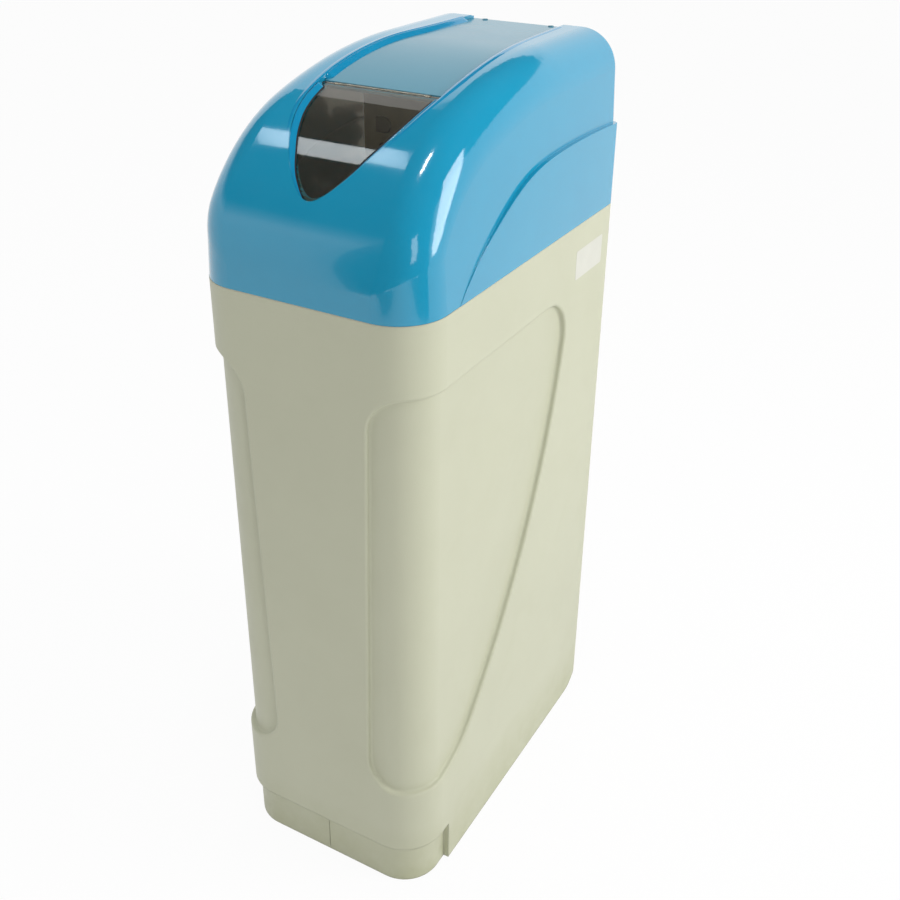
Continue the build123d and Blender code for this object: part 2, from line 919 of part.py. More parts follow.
def valve_spool():
    """The spool with a notch in each land, and the rod that the drive gear turns."""
    end = spool_start + spool_length
    body = rod_y(0, valve_axis, spool_start, end, spool_r)
    waist = (spool_length - 2 * spool_land) / (spool_lands - 1)
    for k in range(spool_lands - 1):
        y = spool_start + spool_land + k * waist
        ring = rod_y(0, valve_axis, y + spool_land / 2, y + waist - spool_land / 2,
                     spool_r + over)
        body -= ring - rod_y(0, valve_axis, y, y + waist, spool_r * spool_waist_share)
    for k in range(spool_lands):
        y = spool_start + spool_land / 2 + k * waist
        turn = radians(k * quarter_turn)
        body -= rod_y(spool_r * cos(turn), valve_axis + spool_r * sin(turn),
                      y - spool_land, y + spool_land, spool_notch_r)
    return body + rod_y(0, valve_axis, rod_tip, spool_start + over, rod_r)


def injector_cap():
    start = boss_reach
    cap = rod_x(brine_y, injector_z, start, start + injector_reach, injector_r)
    for k in range(cap_ribs):
        turn = Pos(0, brine_y, injector_z) * Rot(k * full_turn / cap_ribs, 0, 0)
        cap -= turn * slab(start + injector_reach / 2, start + injector_reach + over,
                           -cap_rib / 2, cap_rib / 2, injector_r - cap_rib / 2,
                           injector_r + over)
    return cap


def hex_bar_x(y, z, x0, x1, r):
    """A six-sided bar that runs from side to side."""
    return side_plate(Pos(y, z) * RegularPolygon(r, 6), x0, x1)


def hex_bar_y(x, z, y0, y1, r):
    """A six-sided bar that runs front to back."""
    return front_plate(Pos(x, z) * RegularPolygon(r, 6), y0, y1)


def brine_nut():
    start = boss_reach
    nut = hex_bar_x(brine_y, brine_z, start, start + brine_nut_length, brine_nut_r)
    return nut - rod_x(brine_y, brine_z, start - over, start + brine_nut_length + over,
                       brine_tube_r + running_clear)


def drain_elbow():
    start = -boss_reach
    end = start - drain_length
    turn_x = end + drain_r
    body = rod_x(drain_y, valve_axis, end, start, drain_r)
    body += rod_y(turn_x, valve_axis, drain_y, drain_y + drain_r + barb_shoulder, drain_r)
    tip = drain_y + drain_r + barb_shoulder + barb_length
    body += rod_y(turn_x, valve_axis, drain_y, tip, barb_r)
    body -= rod_y(turn_x, valve_axis, drain_y, tip + over, barb_bore_r)
    return body - rod_x(drain_y, valve_axis, turn_x, start + over, barb_bore_r)


head_low = vessel_top + head_bottom_rise
head_high = vessel_top + head_top_rise
head_middle = (head_low + head_high) / 2


def head_block(inset, y0, y1):
    """The control head's rounded outline between two y places."""
    face = Rectangle(2 * (head_half - inset), head_high - head_low - 2 * inset)
    face = fillet(face.vertices(), head_corner_r - inset)
    return front_plate(Pos(0, head_middle) * face, y0, y1)


def gear_places():
    """Centres of the drive gear, the idler and the pinion in (x, z)."""
    turn = radians(gear_turn)
    first = gear_module * (drive_teeth + idler_teeth) / 2
    second = first + gear_module * (idler_teeth + pinion_teeth) / 2
    return [
        (0, valve_axis),
        (first * cos(turn), valve_axis + first * sin(turn)),
        (second * cos(turn), valve_axis + second * sin(turn)),
    ]


def involute(angle):
    return tan(angle) - angle


def gear_outline(teeth, tooth_at):
    """An involute gear's outline, with a tooth centred at the given angle."""
    pitch_r = gear_module * teeth / 2
    press = radians(pressure_angle)
    base_r = pitch_r * cos(press)
    tip_r = pitch_r + gear_module * addendum_share
    root_r = pitch_r - gear_module * dedendum_share
    half = pi / 2 / teeth - gear_backlash / 2 / pitch_r
    flank = []
    low = max(base_r, root_r)
    for k in range(flank_steps + 1):
        r = low + (tip_r - low) * k / flank_steps
        flank.append((r, half + involute(press) - involute(acos(base_r / r))))
    points = []
    for tooth in range(teeth):
        middle = radians(tooth_at) + tooth * 2 * pi / teeth
        side = flank if low == root_r else [(root_r, flank[0][1])] + flank
        for r, wide in side:
            points.append((r * cos(middle - wide), r * sin(middle - wide)))
        for r, wide in reversed(side):
            points.append((r * cos(middle + wide), r * sin(middle + wide)))
    return make_face(Polyline(*points, close=True))


def gear(place, teeth, tooth_at):
    return front_plate(Pos(*place) * gear_outline(teeth, tooth_at), gear_front,
                       gear_front + gear_face)


def drive_gear():
    place = gear_places()[0]
    body = gear(place, drive_teeth, gear_turn)
    body += rod_y(*place, gear_front, barrel_start, hub_r)
    for k in range(gear_windows):
        turn = Pos(place[0], 0, place[1]) * Rot(0, (k + half_share) * full_turn / gear_windows, 0)
        body -= turn * rod_y(gear_window_at, 0, gear_front - over, gear_front + gear_face + over,
                             gear_window_r)
    return body - rod_y(*place, gear_front - over, barrel_start + over, rod_r + rod_clear)


def idler_gear():
    place = gear_places()[1]
    step = full_turn / idler_teeth / 2
    body = gear(place, idler_teeth, gear_turn + step)
    body += rod_y(*place, gear_front, plate_front - seat_gap, hub_r / 2)
    return body - rod_y(*place, gear_front - over, plate_front + over,
                        idler_pin_r + running_clear)


def motor_pinion():
    place = gear_places()[2]
    body = gear(place, pinion_teeth, gear_turn + full_turn / 2)
    return body + rod_y(*place, gear_front, barrel_start + fitting_bite, motor_shaft_r)


def drive_motor():
    place = gear_places()[2]
    body = rod_y(*place, barrel_start, barrel_start + motor_length, motor_r)
    body += rod_y(*place, barrel_start + motor_length, barrel_start + motor_length
                  + fitting_bite / 2, motor_r / 2)
    return body - rod_y(*place, barrel_start - over, barrel_start + fitting_bite + over,
                        motor_shaft_r + running_clear)


def housing_screw_places():
    x = head_half - head_corner_r
    z = (head_high - head_low) / 2 - head_corner_r
    return [(-x, head_middle - z), (x, head_middle - z), (-x, head_middle + z),
            (x, head_middle + z)]


def control_backplate():
    places = gear_places()
    plate = head_block(0, plate_front, barrel_start)
    plate -= rod_y(*places[0], plate_front - over, barrel_start + over, hub_r + running_clear)
    plate -= rod_y(*places[2], plate_front - over, barrel_start + over,
                   motor_shaft_r + running_clear)
    plate += rod_y(*places[1], gear_front, plate_front + over, idler_pin_r)
    for x, z in housing_screw_places():
        plate -= rod_y(x, z, plate_front - over, barrel_start + over, screw_r + running_clear)
    return plate


def housing_screws():
    screws = []
    for x, z in housing_screw_places():
        body = rod_y(x, z, barrel_start, barrel_start + screw_head, screw_head_r)
        body += rod_y(x, z, barrel_start - screw_length, barrel_start + over, screw_r)
        slot = slab(x - screw_head_r, x + screw_head_r, barrel_start + screw_head - screw_slot,
                    barrel_start + screw_head + over, z - screw_slot / 2, z + screw_slot / 2)
        screws.append((body - slot).solid())
    return Compound(children=screws)


def power_socket():
    x = -head_half + socket_side
    z = head_low + socket_edge
    body = rod_y(x, z, barrel_start, barrel_start + socket_length, socket_r)
    return body - rod_y(x, z, barrel_start + socket_length - socket_depth,
                        barrel_start + socket_length + over, socket_bore_r)


face_y = head_front


def small_button_places():
    z = vessel_top + button_row_rise
    return [(display_x + (k - 1) * button_pitch, z) for k in range(3)]


def button_outline(grow):
    return fillet(Rectangle(button_w + 2 * grow, button_h + 2 * grow).vertices(),
                  button_corner_r + grow)


def big_button_outline(grow):
    """A D: straight on its left side, a half round on its right."""
    half = big_button_h / 2 + grow
    left = -big_button_w / 2 - grow
    bend = big_button_w / 2 + grow - half
    return make_face([
        Line((bend, half), (left, half)),
        Line((left, half), (left, -half)),
        Line((left, -half), (bend, -half)),
        ThreePointArc((bend, -half), (bend + half, 0), (bend, half)),
    ])


def big_button_place():
    return (big_button_x, vessel_top + big_button_rise)


def round_button_place():
    return (round_button_x, vessel_top + round_button_rise)


def control_housing():
    shell = head_block(0, face_y, plate_front)
    shell -= head_block(head_wall, face_y + head_wall, plate_front + over)
    sink = Pos(display_x, vessel_top + display_rise) * Rectangle(
        display_w + 2 * button_gap, display_h + 2 * button_gap)
    shell -= front_plate(sink, face_y - over, face_y + display_thick + seat_gap)
    view = Pos(display_x, vessel_top + display_rise) * Rectangle(
        display_w - 2 * head_wall, display_h - 2 * head_wall)
    shell -= front_plate(view, face_y - over, face_y + head_wall + over)
    for place in small_button_places():
        shell -= front_plate(Pos(*place) * button_outline(button_gap), face_y - over,
                             face_y + head_wall + over)
    shell -= front_plate(Pos(*big_button_place()) * big_button_outline(button_gap),
                         face_y - over, face_y + head_wall + over)
    shell -= rod_y(*round_button_place(), face_y - over, face_y + head_wall + over,
                   round_button_r + button_gap)
    for x, z in board_post_places():
        shell += rod_y(x, z, face_y + head_wall / 2, board_front, post_r)
    for x, z in housing_screw_places():
        shell += rod_y(x, z, face_y + head_wall / 2, plate_front, boss_r)
        shell -= rod_y(x, z, barrel_start - screw_length - over, plate_front + over,
                       screw_r + running_clear)
    return shell


board_front = face_y + head_wall + board_gap


def board_post_places():
    x = head_half - board_edge - 2 * post_r
    return [(-x, board_low + 2 * post_r), (x, board_low + 2 * post_r),
            (-x, board_high - 2 * post_r), (x, board_high - 2 * post_r)]


board_low = head_low + board_lift
board_high = head_high - board_edge


def circuit_board():
    edge = head_half - board_edge
    board = slab(-edge, edge, board_front, board_front + board_thick, board_low, board_high)
    for k in range(board_chips):
        x = edge * (k - 1) * board_chip_share
        board += slab(x - chip_half, x + chip_half, board_front + board_thick / 2,
                      board_front + board_thick + chip_rise,
                      board_high - board_edge - 2 * chip_half, board_high - board_edge)
    return board


def display_window():
    pane = Pos(display_x, vessel_top + display_rise) * Rectangle(display_w, display_h)
    return front_plate(pane, face_y, face_y + display_thick)


def button(outline, place):
    """A cap that stands proud of the face and reaches back to its switch."""
    back = board_front - button_travel - seat_gap
    cap = front_plate(Pos(*place) * outline, face_y - button_proud, back)
    front_edges = cap.faces().sort_by(Axis.Y)[0].edges()
    return chamfer(front_edges, button_edge)


def small_button(k):
    return button(button_outline(0), small_button_places()[k])


def menu_button():
    return small_button(0)


def down_button():
    return small_button(1)


def up_button():
    return small_button(2)


def regeneration_button():
    return button(big_button_outline(0), big_button_place())


def lock_button():
    return button(Circle(round_button_r), round_button_place())


bypass_low_z = port_z - bypass_low
bypass_high_z = port_z + bypass_high


def barrel_space(side):
    """What a nut leaves free round a barrel of the bypass."""
    return rod_z(side * port_x, bypass_y, bypass_low_z - over, bypass_high_z + over,
                 bypass_barrel_r + seat_gap)


def union_nuts():
    """The two nuts that join the bypass to the valve's ports."""
    nuts = []
    for side in (-1, 1):
        nut = hex_bar_y(side * port_x, port_z, port_end - union_width / 2,
                        port_end + union_width / 2, union_r)
        nut -= rod_y(side * port_x, port_z, port_end - union_width, port_end + union_width,
                     port_r + running_clear)
        nuts.append((nut - barrel_space(side)).solid())
    return Compound(children=nuts)


def bypass_body():
    body = rod_x(bypass_y, port_z, -port_x, port_x, port_bore_r)
    for side in (-1, 1):
        body += rod_z(side * port_x, bypass_y, bypass_low_z, bypass_high_z, bypass_barrel_r)
        body += rod_y(side * port_x, port_z, port_end, tail_start, port_r)
    for side in (-1, 1):
        body -= rod_z(side * port_x, bypass_y, bypass_low_z + rotor_floor,
                      bypass_high_z + over, rotor_r + rotor_clear)
        body -= rod_y(side * port_x, port_z, port_end - over, tail_start + over, tail_bore_r)
    return body


def bypass_lever(side):
    """A rotor with its cross bore and the lever on top."""
    x = side * port_x
    low = bypass_low_z + rotor_floor + rotor_clear
    top = bypass_high_z + seat_gap
    body = rod_z(x, bypass_y, low, top + lever_thick / 2, rotor_r)
    body += rod_z(x, bypass_y, top, top + lever_thick, bypass_barrel_r)
    arm = slab(x - lever_width / 2, x + lever_width / 2, bypass_y, bypass_y + lever_length,
               top, top + lever_thick)
    arm = fillet(arm.edges().filter_by(Axis.Z).group_by(Axis.Y)[-1], lever_width / 3)
    body += arm
    return body - rod_y(x, port_z, bypass_y - 2 * rotor_r, bypass_y + 2 * rotor_r, tail_bore_r)


def inlet_lever():
    return bypass_lever(1)


def outlet_lever():
    return bypass_lever(-1)


nut_start = tail_start - tail_nut_back
nut_end = tail_start + tail_collar


def tail_nuts():
    nuts = []
    for side in (-1, 1):
        nut = hex_bar_y(side * port_x, port_z, nut_start, nut_end, union_r)
        nut -= rod_y(side * port_x, port_z, nut_start - over, nut_end + over,
                     port_r + running_clear)
        nuts.append((nut - barrel_space(side)).solid())
    return Compound(children=nuts)


def pipe_tails():
    """The two threaded tails that the house pipes screw on to."""
    tails = []
    for side in (-1, 1):
        tail = rod_y(side * port_x, port_z, tail_start, nut_end, port_r)
        tail += rod_y(side * port_x, port_z, tail_start, tail_end, tail_thread_r)
        tails.append((tail - rod_y(side * port_x, port_z, tail_start - over, tail_end + over,
                                   tail_bore_r)).solid())
    return Compound(children=tails)


cage_y = port_end - cage_back


def meter_cage():
    """A ring in the outlet port with a bar that holds the wheel's pin."""
    x = -port_x
    ring = rod_y(x, port_z, cage_y, cage_y + cage_width, port_bore_r - running_clear)
    ring -= rod_y(x, port_z, cage_y - over, cage_y + cage_width + over,
                  port_bore_r - running_clear - cage_rim)
    ring += slab(x - port_bore_r + cage_rim, x + port_bore_r - cage_rim, cage_y,
                 cage_y + cage_width, port_z - cage_rim / 2, port_z + cage_rim / 2)
    return ring + rod_y(x, port_z, cage_y - wheel_width - cage_gap, cage_y + over, wheel_pin_r)


def meter_wheel():
    """The paddle wheel that counts the water."""
    x = -port_x
    start = cage_y - wheel_width - cage_gap / 2
    end = cage_y - cage_gap / 2
    wheel = rod_y(x, port_z, start, end, wheel_hub_r)
    for k in range(wheel_blades):
        turn = Pos(x, 0, port_z) * Rot(0, k * full_turn / wheel_blades, 0)
        wheel += turn * slab(0, wheel_r, start, end, -wheel_blade / 2, wheel_blade / 2)
    return wheel - rod_y(x, port_z, start - over, end + over, wheel_pin_r + running_clear)


well_low = cabinet_floor
well_high = well_low + well_height
tube_x = well_x + tube_offset
pickup_low = well_low + pickup_lift
pickup_high = pickup_low + pickup_height


def brine_well():
    tube = rod_z(well_x, well_y, well_low, well_high, well_r)
    tube -= rod_z(well_x, well_y, well_low - over, well_high + over, well_r - well_wall)
    slots = []
    for k in range(well_foot_slots):
        turn = Pos(well_x, well_y, 0) * Rot(0, 0, k * full_turn / well_foot_slots)
        slots.append(turn * slab(0, well_r + over, -well_slot_w / 2, well_slot_w / 2,
                                 well_low - over, well_low + well_slot_h))
    return tube - slots


def well_cap():
    """A push-on cap with a hole for the brine line."""
    out = well_r + cap_clear + cap_thick
    top = well_high + seat_gap + cap_thick
    cap = rod_z(well_x, well_y, top - cap_height, top, out)
    cap -= rod_z(well_x, well_y, top - cap_height - over, top - cap_thick, well_r + cap_clear)
    return cap - rod_z(tube_x, well_y, top - cap_height, top + over, brine_tube_r + cap_clear)


def brine_valve():
    """The valve at the foot of the brine line, with the float rod's guide."""
    body = rod_z(tube_x, well_y, pickup_low, pickup_high, pickup_r)
    body += rod_z(tube_x, well_y, well_low, pickup_low + over, pickup_r / 2)
    rod_at = tube_x - float_rod_x
    for z in (pickup_low, pickup_high - guide_thick):
        body += slab(rod_at - guide_half, tube_x, well_y - guide_half, well_y + guide_half,
                     z, z + guide_thick)
    body -= rod_z(rod_at, well_y, pickup_low - over, pickup_high + over,
                  float_rod_r + float_clear / 2)
    return body - rod_z(tube_x, well_y, pickup_high - fitting_bite, pickup_high + over,
                        brine_tube_r + running_clear)


def brine_line():
    """The tube from the valve's brine port, down the well to the brine valve."""
    start = (boss_reach - fitting_bite + seat_gap, brine_y, brine_z)
    end_z = pickup_high - fitting_bite + seat_gap
    path = FilletPolyline(start, (tube_x, brine_y, brine_z), (tube_x, well_y, brine_z),
                          (tube_x, well_y, end_z), radius=brine_bend_r)
    section = Plane(origin=start, z_dir=(1, 0, 0)) * (
        Circle(brine_tube_r) - Circle(brine_tube_bore_r))
    return sweep(section, path=path)


def float_rod():
    x = tube_x - float_rod_x
    low = well_low + rod_lift
    high = float_low + float_height + float_rod_over
    rod = rod_z(x, well_y, low, high, float_rod_r)
    stop = pickup_high + seat_gap
    return rod + rod_z(x, well_y, stop, stop + guide_thick, 2 * float_rod_r)


def brine_float():
    x = tube_x - float_rod_x
    body = rod_z(x, well_y, float_low, float_low + float_height, float_r)
    body = chamfer(body.edges().filter_by(GeomType.CIRCLE), float_edge)
    return body - rod_z(x, well_y, float_low - over, float_low + float_height + over,
                        float_rod_r + running_clear)


def salt_grid():
    """The slotted shelf that holds the salt over the brine, on legs."""
    low = cabinet_floor + grid_height
    high = low + grid_thick
    plate = plan_prism(cabinet_wall + grid_clear, low, high)
    plate &= slab(-half_w, half_w, front_y, grid_rear, low, high)
    inner = half_w - cabinet_wall - grid_clear
    slots = []
    count = int(2 * inner / grid_pitch)
    for k in range(count):
        x = (k - (count - 1) / 2) * grid_pitch
        slots.append(slab(x - grid_slot / 2, x + grid_slot / 2, front_y + front_corner_r,
                          vessel_y - vessel_r - 2 * grid_pitch, low - over, high + over))
    plate -= slots
    leg_x = inner - front_corner_r
    for x in (-leg_x, leg_x):
        for y in (front_y + front_corner_r - grid_leg, well_y - well_r - 2 * grid_leg):
            plate += rod_z(x, y, cabinet_floor, high - grid_thick / 2, grid_leg / 2)
    plate -= rod_z(0, vessel_y, low - over, high + over, vessel_r + grid_clear)
    return plate - rod_z(well_x, well_y, low - over, high + over, well_r + grid_clear)


def overflow_bush():
    start = rear_y - overflow_length
    body = rod_y(overflow_x, overflow_z, start, rear_y - overflow_flange / 2,
                 overflow_body_r - running_clear)
    body += rod_y(overflow_x, overflow_z, rear_y - overflow_flange, rear_y,
                  overflow_flange_r)
    return body - rod_y(overflow_x, overflow_z, start - over, rear_y + over, overflow_r)


def overflow_nut():
    end = rear_y - cabinet_wall
    nut = hex_bar_y(overflow_x, overflow_z, end - overflow_nut_width, end, overflow_nut_r)
    return nut - rod_y(overflow_x, overflow_z, end - overflow_nut_width - over, end + over,
                       overflow_body_r + running_clear)


NODES = {
    "cabinet": cabinet,
    "hood": hood,
    "top_panel": top_panel,
    "panel_screws": panel_screws,
    "salt_lid": salt_lid,
    "lid_hinge_pins": lid_hinge_pins,
    "resin_vessel": resin_vessel,
    "vessel_foot": vessel_foot,
    "vessel_oring": vessel_oring,
    "resin_bed": resin_bed,
    "riser_tube": riser_tube,
    "lower_distributor": lower_distributor,
    "upper_distributor": upper_distributor,
    "valve_body": valve_body,
    "seal_stack": seal_stack,
    "valve_spool": valve_spool,
    "injector_cap": injector_cap,
    "brine_nut": brine_nut,
    "drain_elbow": drain_elbow,
    "control_backplate": control_backplate,
    "drive_gear": drive_gear,
    "idler_gear": idler_gear,
    "motor_pinion": motor_pinion,
    "drive_motor": drive_motor,
    "control_housing": control_housing,
    "housing_screws": housing_screws,
    "power_socket": power_socket,
    "circuit_board": circuit_board,
    "display_window": display_window,
    "menu_button": menu_button,
    "down_button": down_button,
    "up_button": up_button,
    "regeneration_button": regeneration_button,
    "lock_button": lock_button,
    "union_nuts": union_nuts,
    "bypass_body": bypass_body,
    "inlet_lever": inlet_lever,
    "outlet_lever": outlet_lever,
    "tail_nuts": tail_nuts,
    "pipe_tails": pipe_tails,
    "meter_cage": meter_cage,
    "meter_wheel": meter_wheel,
    "brine_well": brine_well,
    "well_cap": well_cap,
    "brine_valve": brine_valve,
    "brine_line": brine_line,
    "float_rod": float_rod,
    "brine_float": brine_float,
    "salt_grid": salt_grid,
    "overflow_bush": overflow_bush,
    "overflow_nut": overflow_nut,
}


def main():
    os.makedirs("parts", exist_ok=True)
    for name, build in NODES.items():
        export_step(build(), f"parts/{name}.step")
        print(name)


main()
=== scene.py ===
"""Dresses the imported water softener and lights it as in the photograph."""

from __future__ import annotations

import logging
import math
from dataclasses import dataclass, field
from enum import Enum

import bpy
from mathutils import Matrix, Vector


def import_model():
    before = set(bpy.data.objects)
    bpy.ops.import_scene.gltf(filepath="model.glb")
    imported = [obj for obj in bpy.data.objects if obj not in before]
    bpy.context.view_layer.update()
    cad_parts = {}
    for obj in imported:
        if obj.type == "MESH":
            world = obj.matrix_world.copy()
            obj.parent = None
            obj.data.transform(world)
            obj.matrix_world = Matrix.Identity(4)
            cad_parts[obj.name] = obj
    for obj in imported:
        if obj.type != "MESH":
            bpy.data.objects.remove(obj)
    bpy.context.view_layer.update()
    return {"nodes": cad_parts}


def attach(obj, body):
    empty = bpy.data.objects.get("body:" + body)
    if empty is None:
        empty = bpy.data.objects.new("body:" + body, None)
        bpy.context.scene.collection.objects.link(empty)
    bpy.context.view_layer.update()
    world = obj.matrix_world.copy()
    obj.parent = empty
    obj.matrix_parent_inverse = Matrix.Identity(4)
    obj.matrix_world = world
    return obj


LOG = logging.getLogger("water_softener")

SMOOTH_BLOCK = math.radians(35)
SMOOTH_SWEEP = math.radians(50)
WELD = 0.00001

Colour = tuple[float, float, float]
Point = tuple[float, float, float]
Profile = list[tuple[float, float]]


class Body(Enum):
    """The moving bodies that the added pieces ride on."""

    FRAME = "frame"
    HOOD = "hood"
    LID = "lid"


class Slot(Enum):
    """The record's material slots. The added pieces don't take their finish from them."""

    CABINET = "cabinet_plastic"
    HOOD = "hood_plastic"
    SEAL = "seal_rubber"
    WHITE = "white_plastic"


@dataclass(frozen=True)
class Step:
    """One step of a path: a place, the skin's normal there, and the profile's size."""

    place: Vector
    normal: Vector
    size: float = 1.0


# ---------------------------------------------------------------- shader groups


class Graph:
    """A small writer of node trees, for materials and for shared groups."""

    def __init__(self, tree: bpy.types.NodeTree) -> None:
        """Takes the tree to write into.

        Args:
            tree: A material's tree or a group's tree.
        """
        self.tree = tree

    def add(self, kind: str, **values: object) -> bpy.types.Node:
        """Adds a node and sets its properties and its unlinked sockets.

        Args:
            kind: The node's type name.
            **values: Properties by name, or socket values by the socket's name
                with blanks written as underscores.

        Returns:
            The new node.
        """
        node = self.tree.nodes.new(kind)
        for key, value in values.items():
            if hasattr(node, key):
                setattr(node, key, value)
            else:
                node.inputs[key.replace("_", " ")].default_value = value
        return node

    def link(self, start: bpy.types.NodeSocket, end: bpy.types.NodeSocket) -> None:
        """Joins an output socket to an input socket."""
        self.tree.links.new(start, end)

    def ramp(self, source: bpy.types.NodeSocket, low: float, high: float) -> bpy.types.NodeSocket:
        """Stretches a value from a range to 0 to 1.

        Args:
            source: The value to stretch.
            low: What becomes 0.
            high: What becomes 1.

        Returns:
            The stretched value's socket.
        """
        node = self.add("ShaderNodeMapRange", clamp=True)
        node.inputs["From Min"].default_value = low
        node.inputs["From Max"].default_value = high
        self.link(source, node.inputs["Value"])
        return node.outputs["Result"]

    def math(self, operation: str, first: bpy.types.NodeSocket,
             second: bpy.types.NodeSocket | float) -> bpy.types.NodeSocket:
        """Works out a sum of two values.

        Args:
            operation: The Math node's operation.
            first: The first value's socket.
            second: The second value, or its socket.

        Returns:
            The answer's socket.
        """
        node = self.add("ShaderNodeMath", operation=operation)
        self.link(first, node.inputs[0])
        if isinstance(second, float):
            node.inputs[1].default_value = second
        else:
            self.link(second, node.inputs[1])
        return node.outputs[0]


def new_group(name: str, inputs: dict[str, float], outputs: tuple[str, ...]) -> Graph:
    """Starts a shader group that reads a vector and some values.

    Args:
        name: The group's name.
        inputs: The value inputs and their defaults.
        outputs: The value outputs.

    Returns:
        A writer on the group's tree, which has its two end nodes.
    """
    tree = bpy.data.node_groups.new(name, "ShaderNodeTree")
    tree.interface.new_socket("Vector", in_out="INPUT", socket_type="NodeSocketVector")
    for key, value in inputs.items():
        socket = tree.interface.new_socket(key, in_out="INPUT", socket_type="NodeSocketFloat")
        socket.default_value = value
    for key in outputs:
        tree.interface.new_socket(key, in_out="OUTPUT", socket_type="NodeSocketFloat")
    tree.nodes.new("NodeGroupInput")
    tree.nodes.new("NodeGroupOutput")
    return Graph(tree)


@dataclass(frozen=True)
class SkinGroups:
    """The effects that the finishes share, each built once as a shader group."""

    moulded: str = "moulded_skin"
    rubbed: str = "rubbed_marks"
    floor_darkened: str = "floor_darkening"
    wound: str = "wound_fibre"

    def build(self) -> None:
        """Builds the four groups."""
        self.build_moulded()
        self.build_rubbed()
        self.build_floor_darkened()
        self.build_wound()

    def build_moulded(self) -> None:
        """The slow mottle and the fine grain of a moulded skin."""
        graph = new_group(self.moulded, {"Mottle Scale": 6.0, "Grain Scale": 900.0},
                          ("Mottle", "Grain"))
        start, end = graph.tree.nodes["Group Input"], graph.tree.nodes["Group Output"]
        slow = graph.add("ShaderNodeTexNoise", Detail=5.0, Roughness=0.6, Distortion=0.3)
        fine = graph.add("ShaderNodeTexNoise", Detail=2.0, Roughness=0.5)
        pits = graph.add("ShaderNodeTexVoronoi", Randomness=1.0)
        for node, key in ((slow, "Mottle Scale"), (fine, "Grain Scale"), (pits, "Grain Scale")):
            graph.link(start.outputs["Vector"], node.inputs["Vector"])
            graph.link(start.outputs[key], node.inputs["Scale"])
        graph.link(graph.ramp(slow.outputs[0], 0.3, 0.7), end.inputs["Mottle"])
        grain = graph.math("ADD", fine.outputs[0], pits.outputs["Distance"])
        graph.link(graph.math("MULTIPLY", grain, 0.5), end.inputs["Grain"])

    def build_rubbed(self) -> None:
        """Long faint scratches and smears from handling and wiping."""
        graph = new_group(self.rubbed, {"Scratch Scale": 60.0, "Smear Scale": 9.0},
                          ("Scratch", "Smear"))
        start, end = graph.tree.nodes["Group Input"], graph.tree.nodes["Group Output"]
        total = None
        for turn in (0.5, -0.9):
            place = graph.add("ShaderNodeMapping")
            place.inputs["Rotation"].default_value = (turn, turn / 2, turn)
            place.inputs["Scale"].default_value = (1.0, 0.04, 1.0)
            noise = graph.add("ShaderNodeTexNoise", Detail=2.0, Roughness=0.5)
            graph.link(start.outputs["Vector"], place.inputs["Vector"])
            graph.link(place.outputs[0], noise.inputs["Vector"])
            graph.link(start.outputs["Scratch Scale"], noise.inputs["Scale"])
            lines = graph.ramp(noise.outputs[0], 0.68, 0.74)
            total = lines if total is None else graph.math("MAXIMUM", total, lines)
        smear = graph.add("ShaderNodeTexNoise", Detail=4.0, Roughness=0.55, Distortion=1.2)
        graph.link(start.outputs["Vector"], smear.inputs["Vector"])
        graph.link(start.outputs["Smear Scale"], smear.inputs["Scale"])
        graph.link(total, end.inputs["Scratch"])
        graph.link(graph.ramp(smear.outputs[0], 0.45, 0.75), end.inputs["Smear"])

    def build_floor_darkened(self) -> None:
        """Darkening towards the floor, broken up by noise."""
        graph = new_group(self.floor_darkened, {"Height": 0.12, "Break Scale": 25.0}, ("Darkening",))
        start, end = graph.tree.nodes["Group Input"], graph.tree.nodes["Group Output"]
        split = graph.add("ShaderNodeSeparateXYZ")
        graph.link(start.outputs["Vector"], split.inputs[0])
        low = graph.add("ShaderNodeMapRange", clamp=True)
        graph.link(split.outputs["Z"], low.inputs["Value"])
        graph.link(start.outputs["Height"], low.inputs["From Max"])
        low.inputs["To Min"].default_value = 1.0
        low.inputs["To Max"].default_value = 0.0
        noise = graph.add("ShaderNodeTexNoise", Detail=6.0, Roughness=0.65)
        graph.link(start.outputs["Vector"], noise.inputs["Vector"])
        graph.link(start.outputs["Break Scale"], noise.inputs["Scale"])
        cloud = graph.ramp(noise.outputs[0], 0.10, 0.85)
        graph.link(graph.math("MULTIPLY", low.outputs["Result"], cloud), end.inputs["Darkening"])

    def build_wound(self) -> None:
        """Crossing helical bands of wound fibre, about an upright axis."""
        graph = new_group(self.wound, {"Band Scale": 34.0}, ("Band",))
        start, end = graph.tree.nodes["Group Input"], graph.tree.nodes["Group Output"]
        total = None
        for slope in (1.1, -1.1):
            place = graph.add("ShaderNodeMapping")
            place.inputs["Rotation"].default_value = (slope, 0.0, 0.0)
            wave = graph.add("ShaderNodeTexWave", Distortion=2.5, Detail=3.0)
            wave.inputs["Detail Scale"].default_value = 4.0
            graph.link(start.outputs["Vector"], place.inputs["Vector"])
            graph.link(place.outputs[0], wave.inputs["Vector"])
            graph.link(start.outputs["Band Scale"], wave.inputs["Scale"])
            total = wave.outputs["Fac"] if total is None else graph.math(
                "MULTIPLY", total, wave.outputs["Fac"])
        graph.link(total, end.inputs["Band"])


GROUPS = SkinGroups()


# ---------------------------------------------------------------- finishes


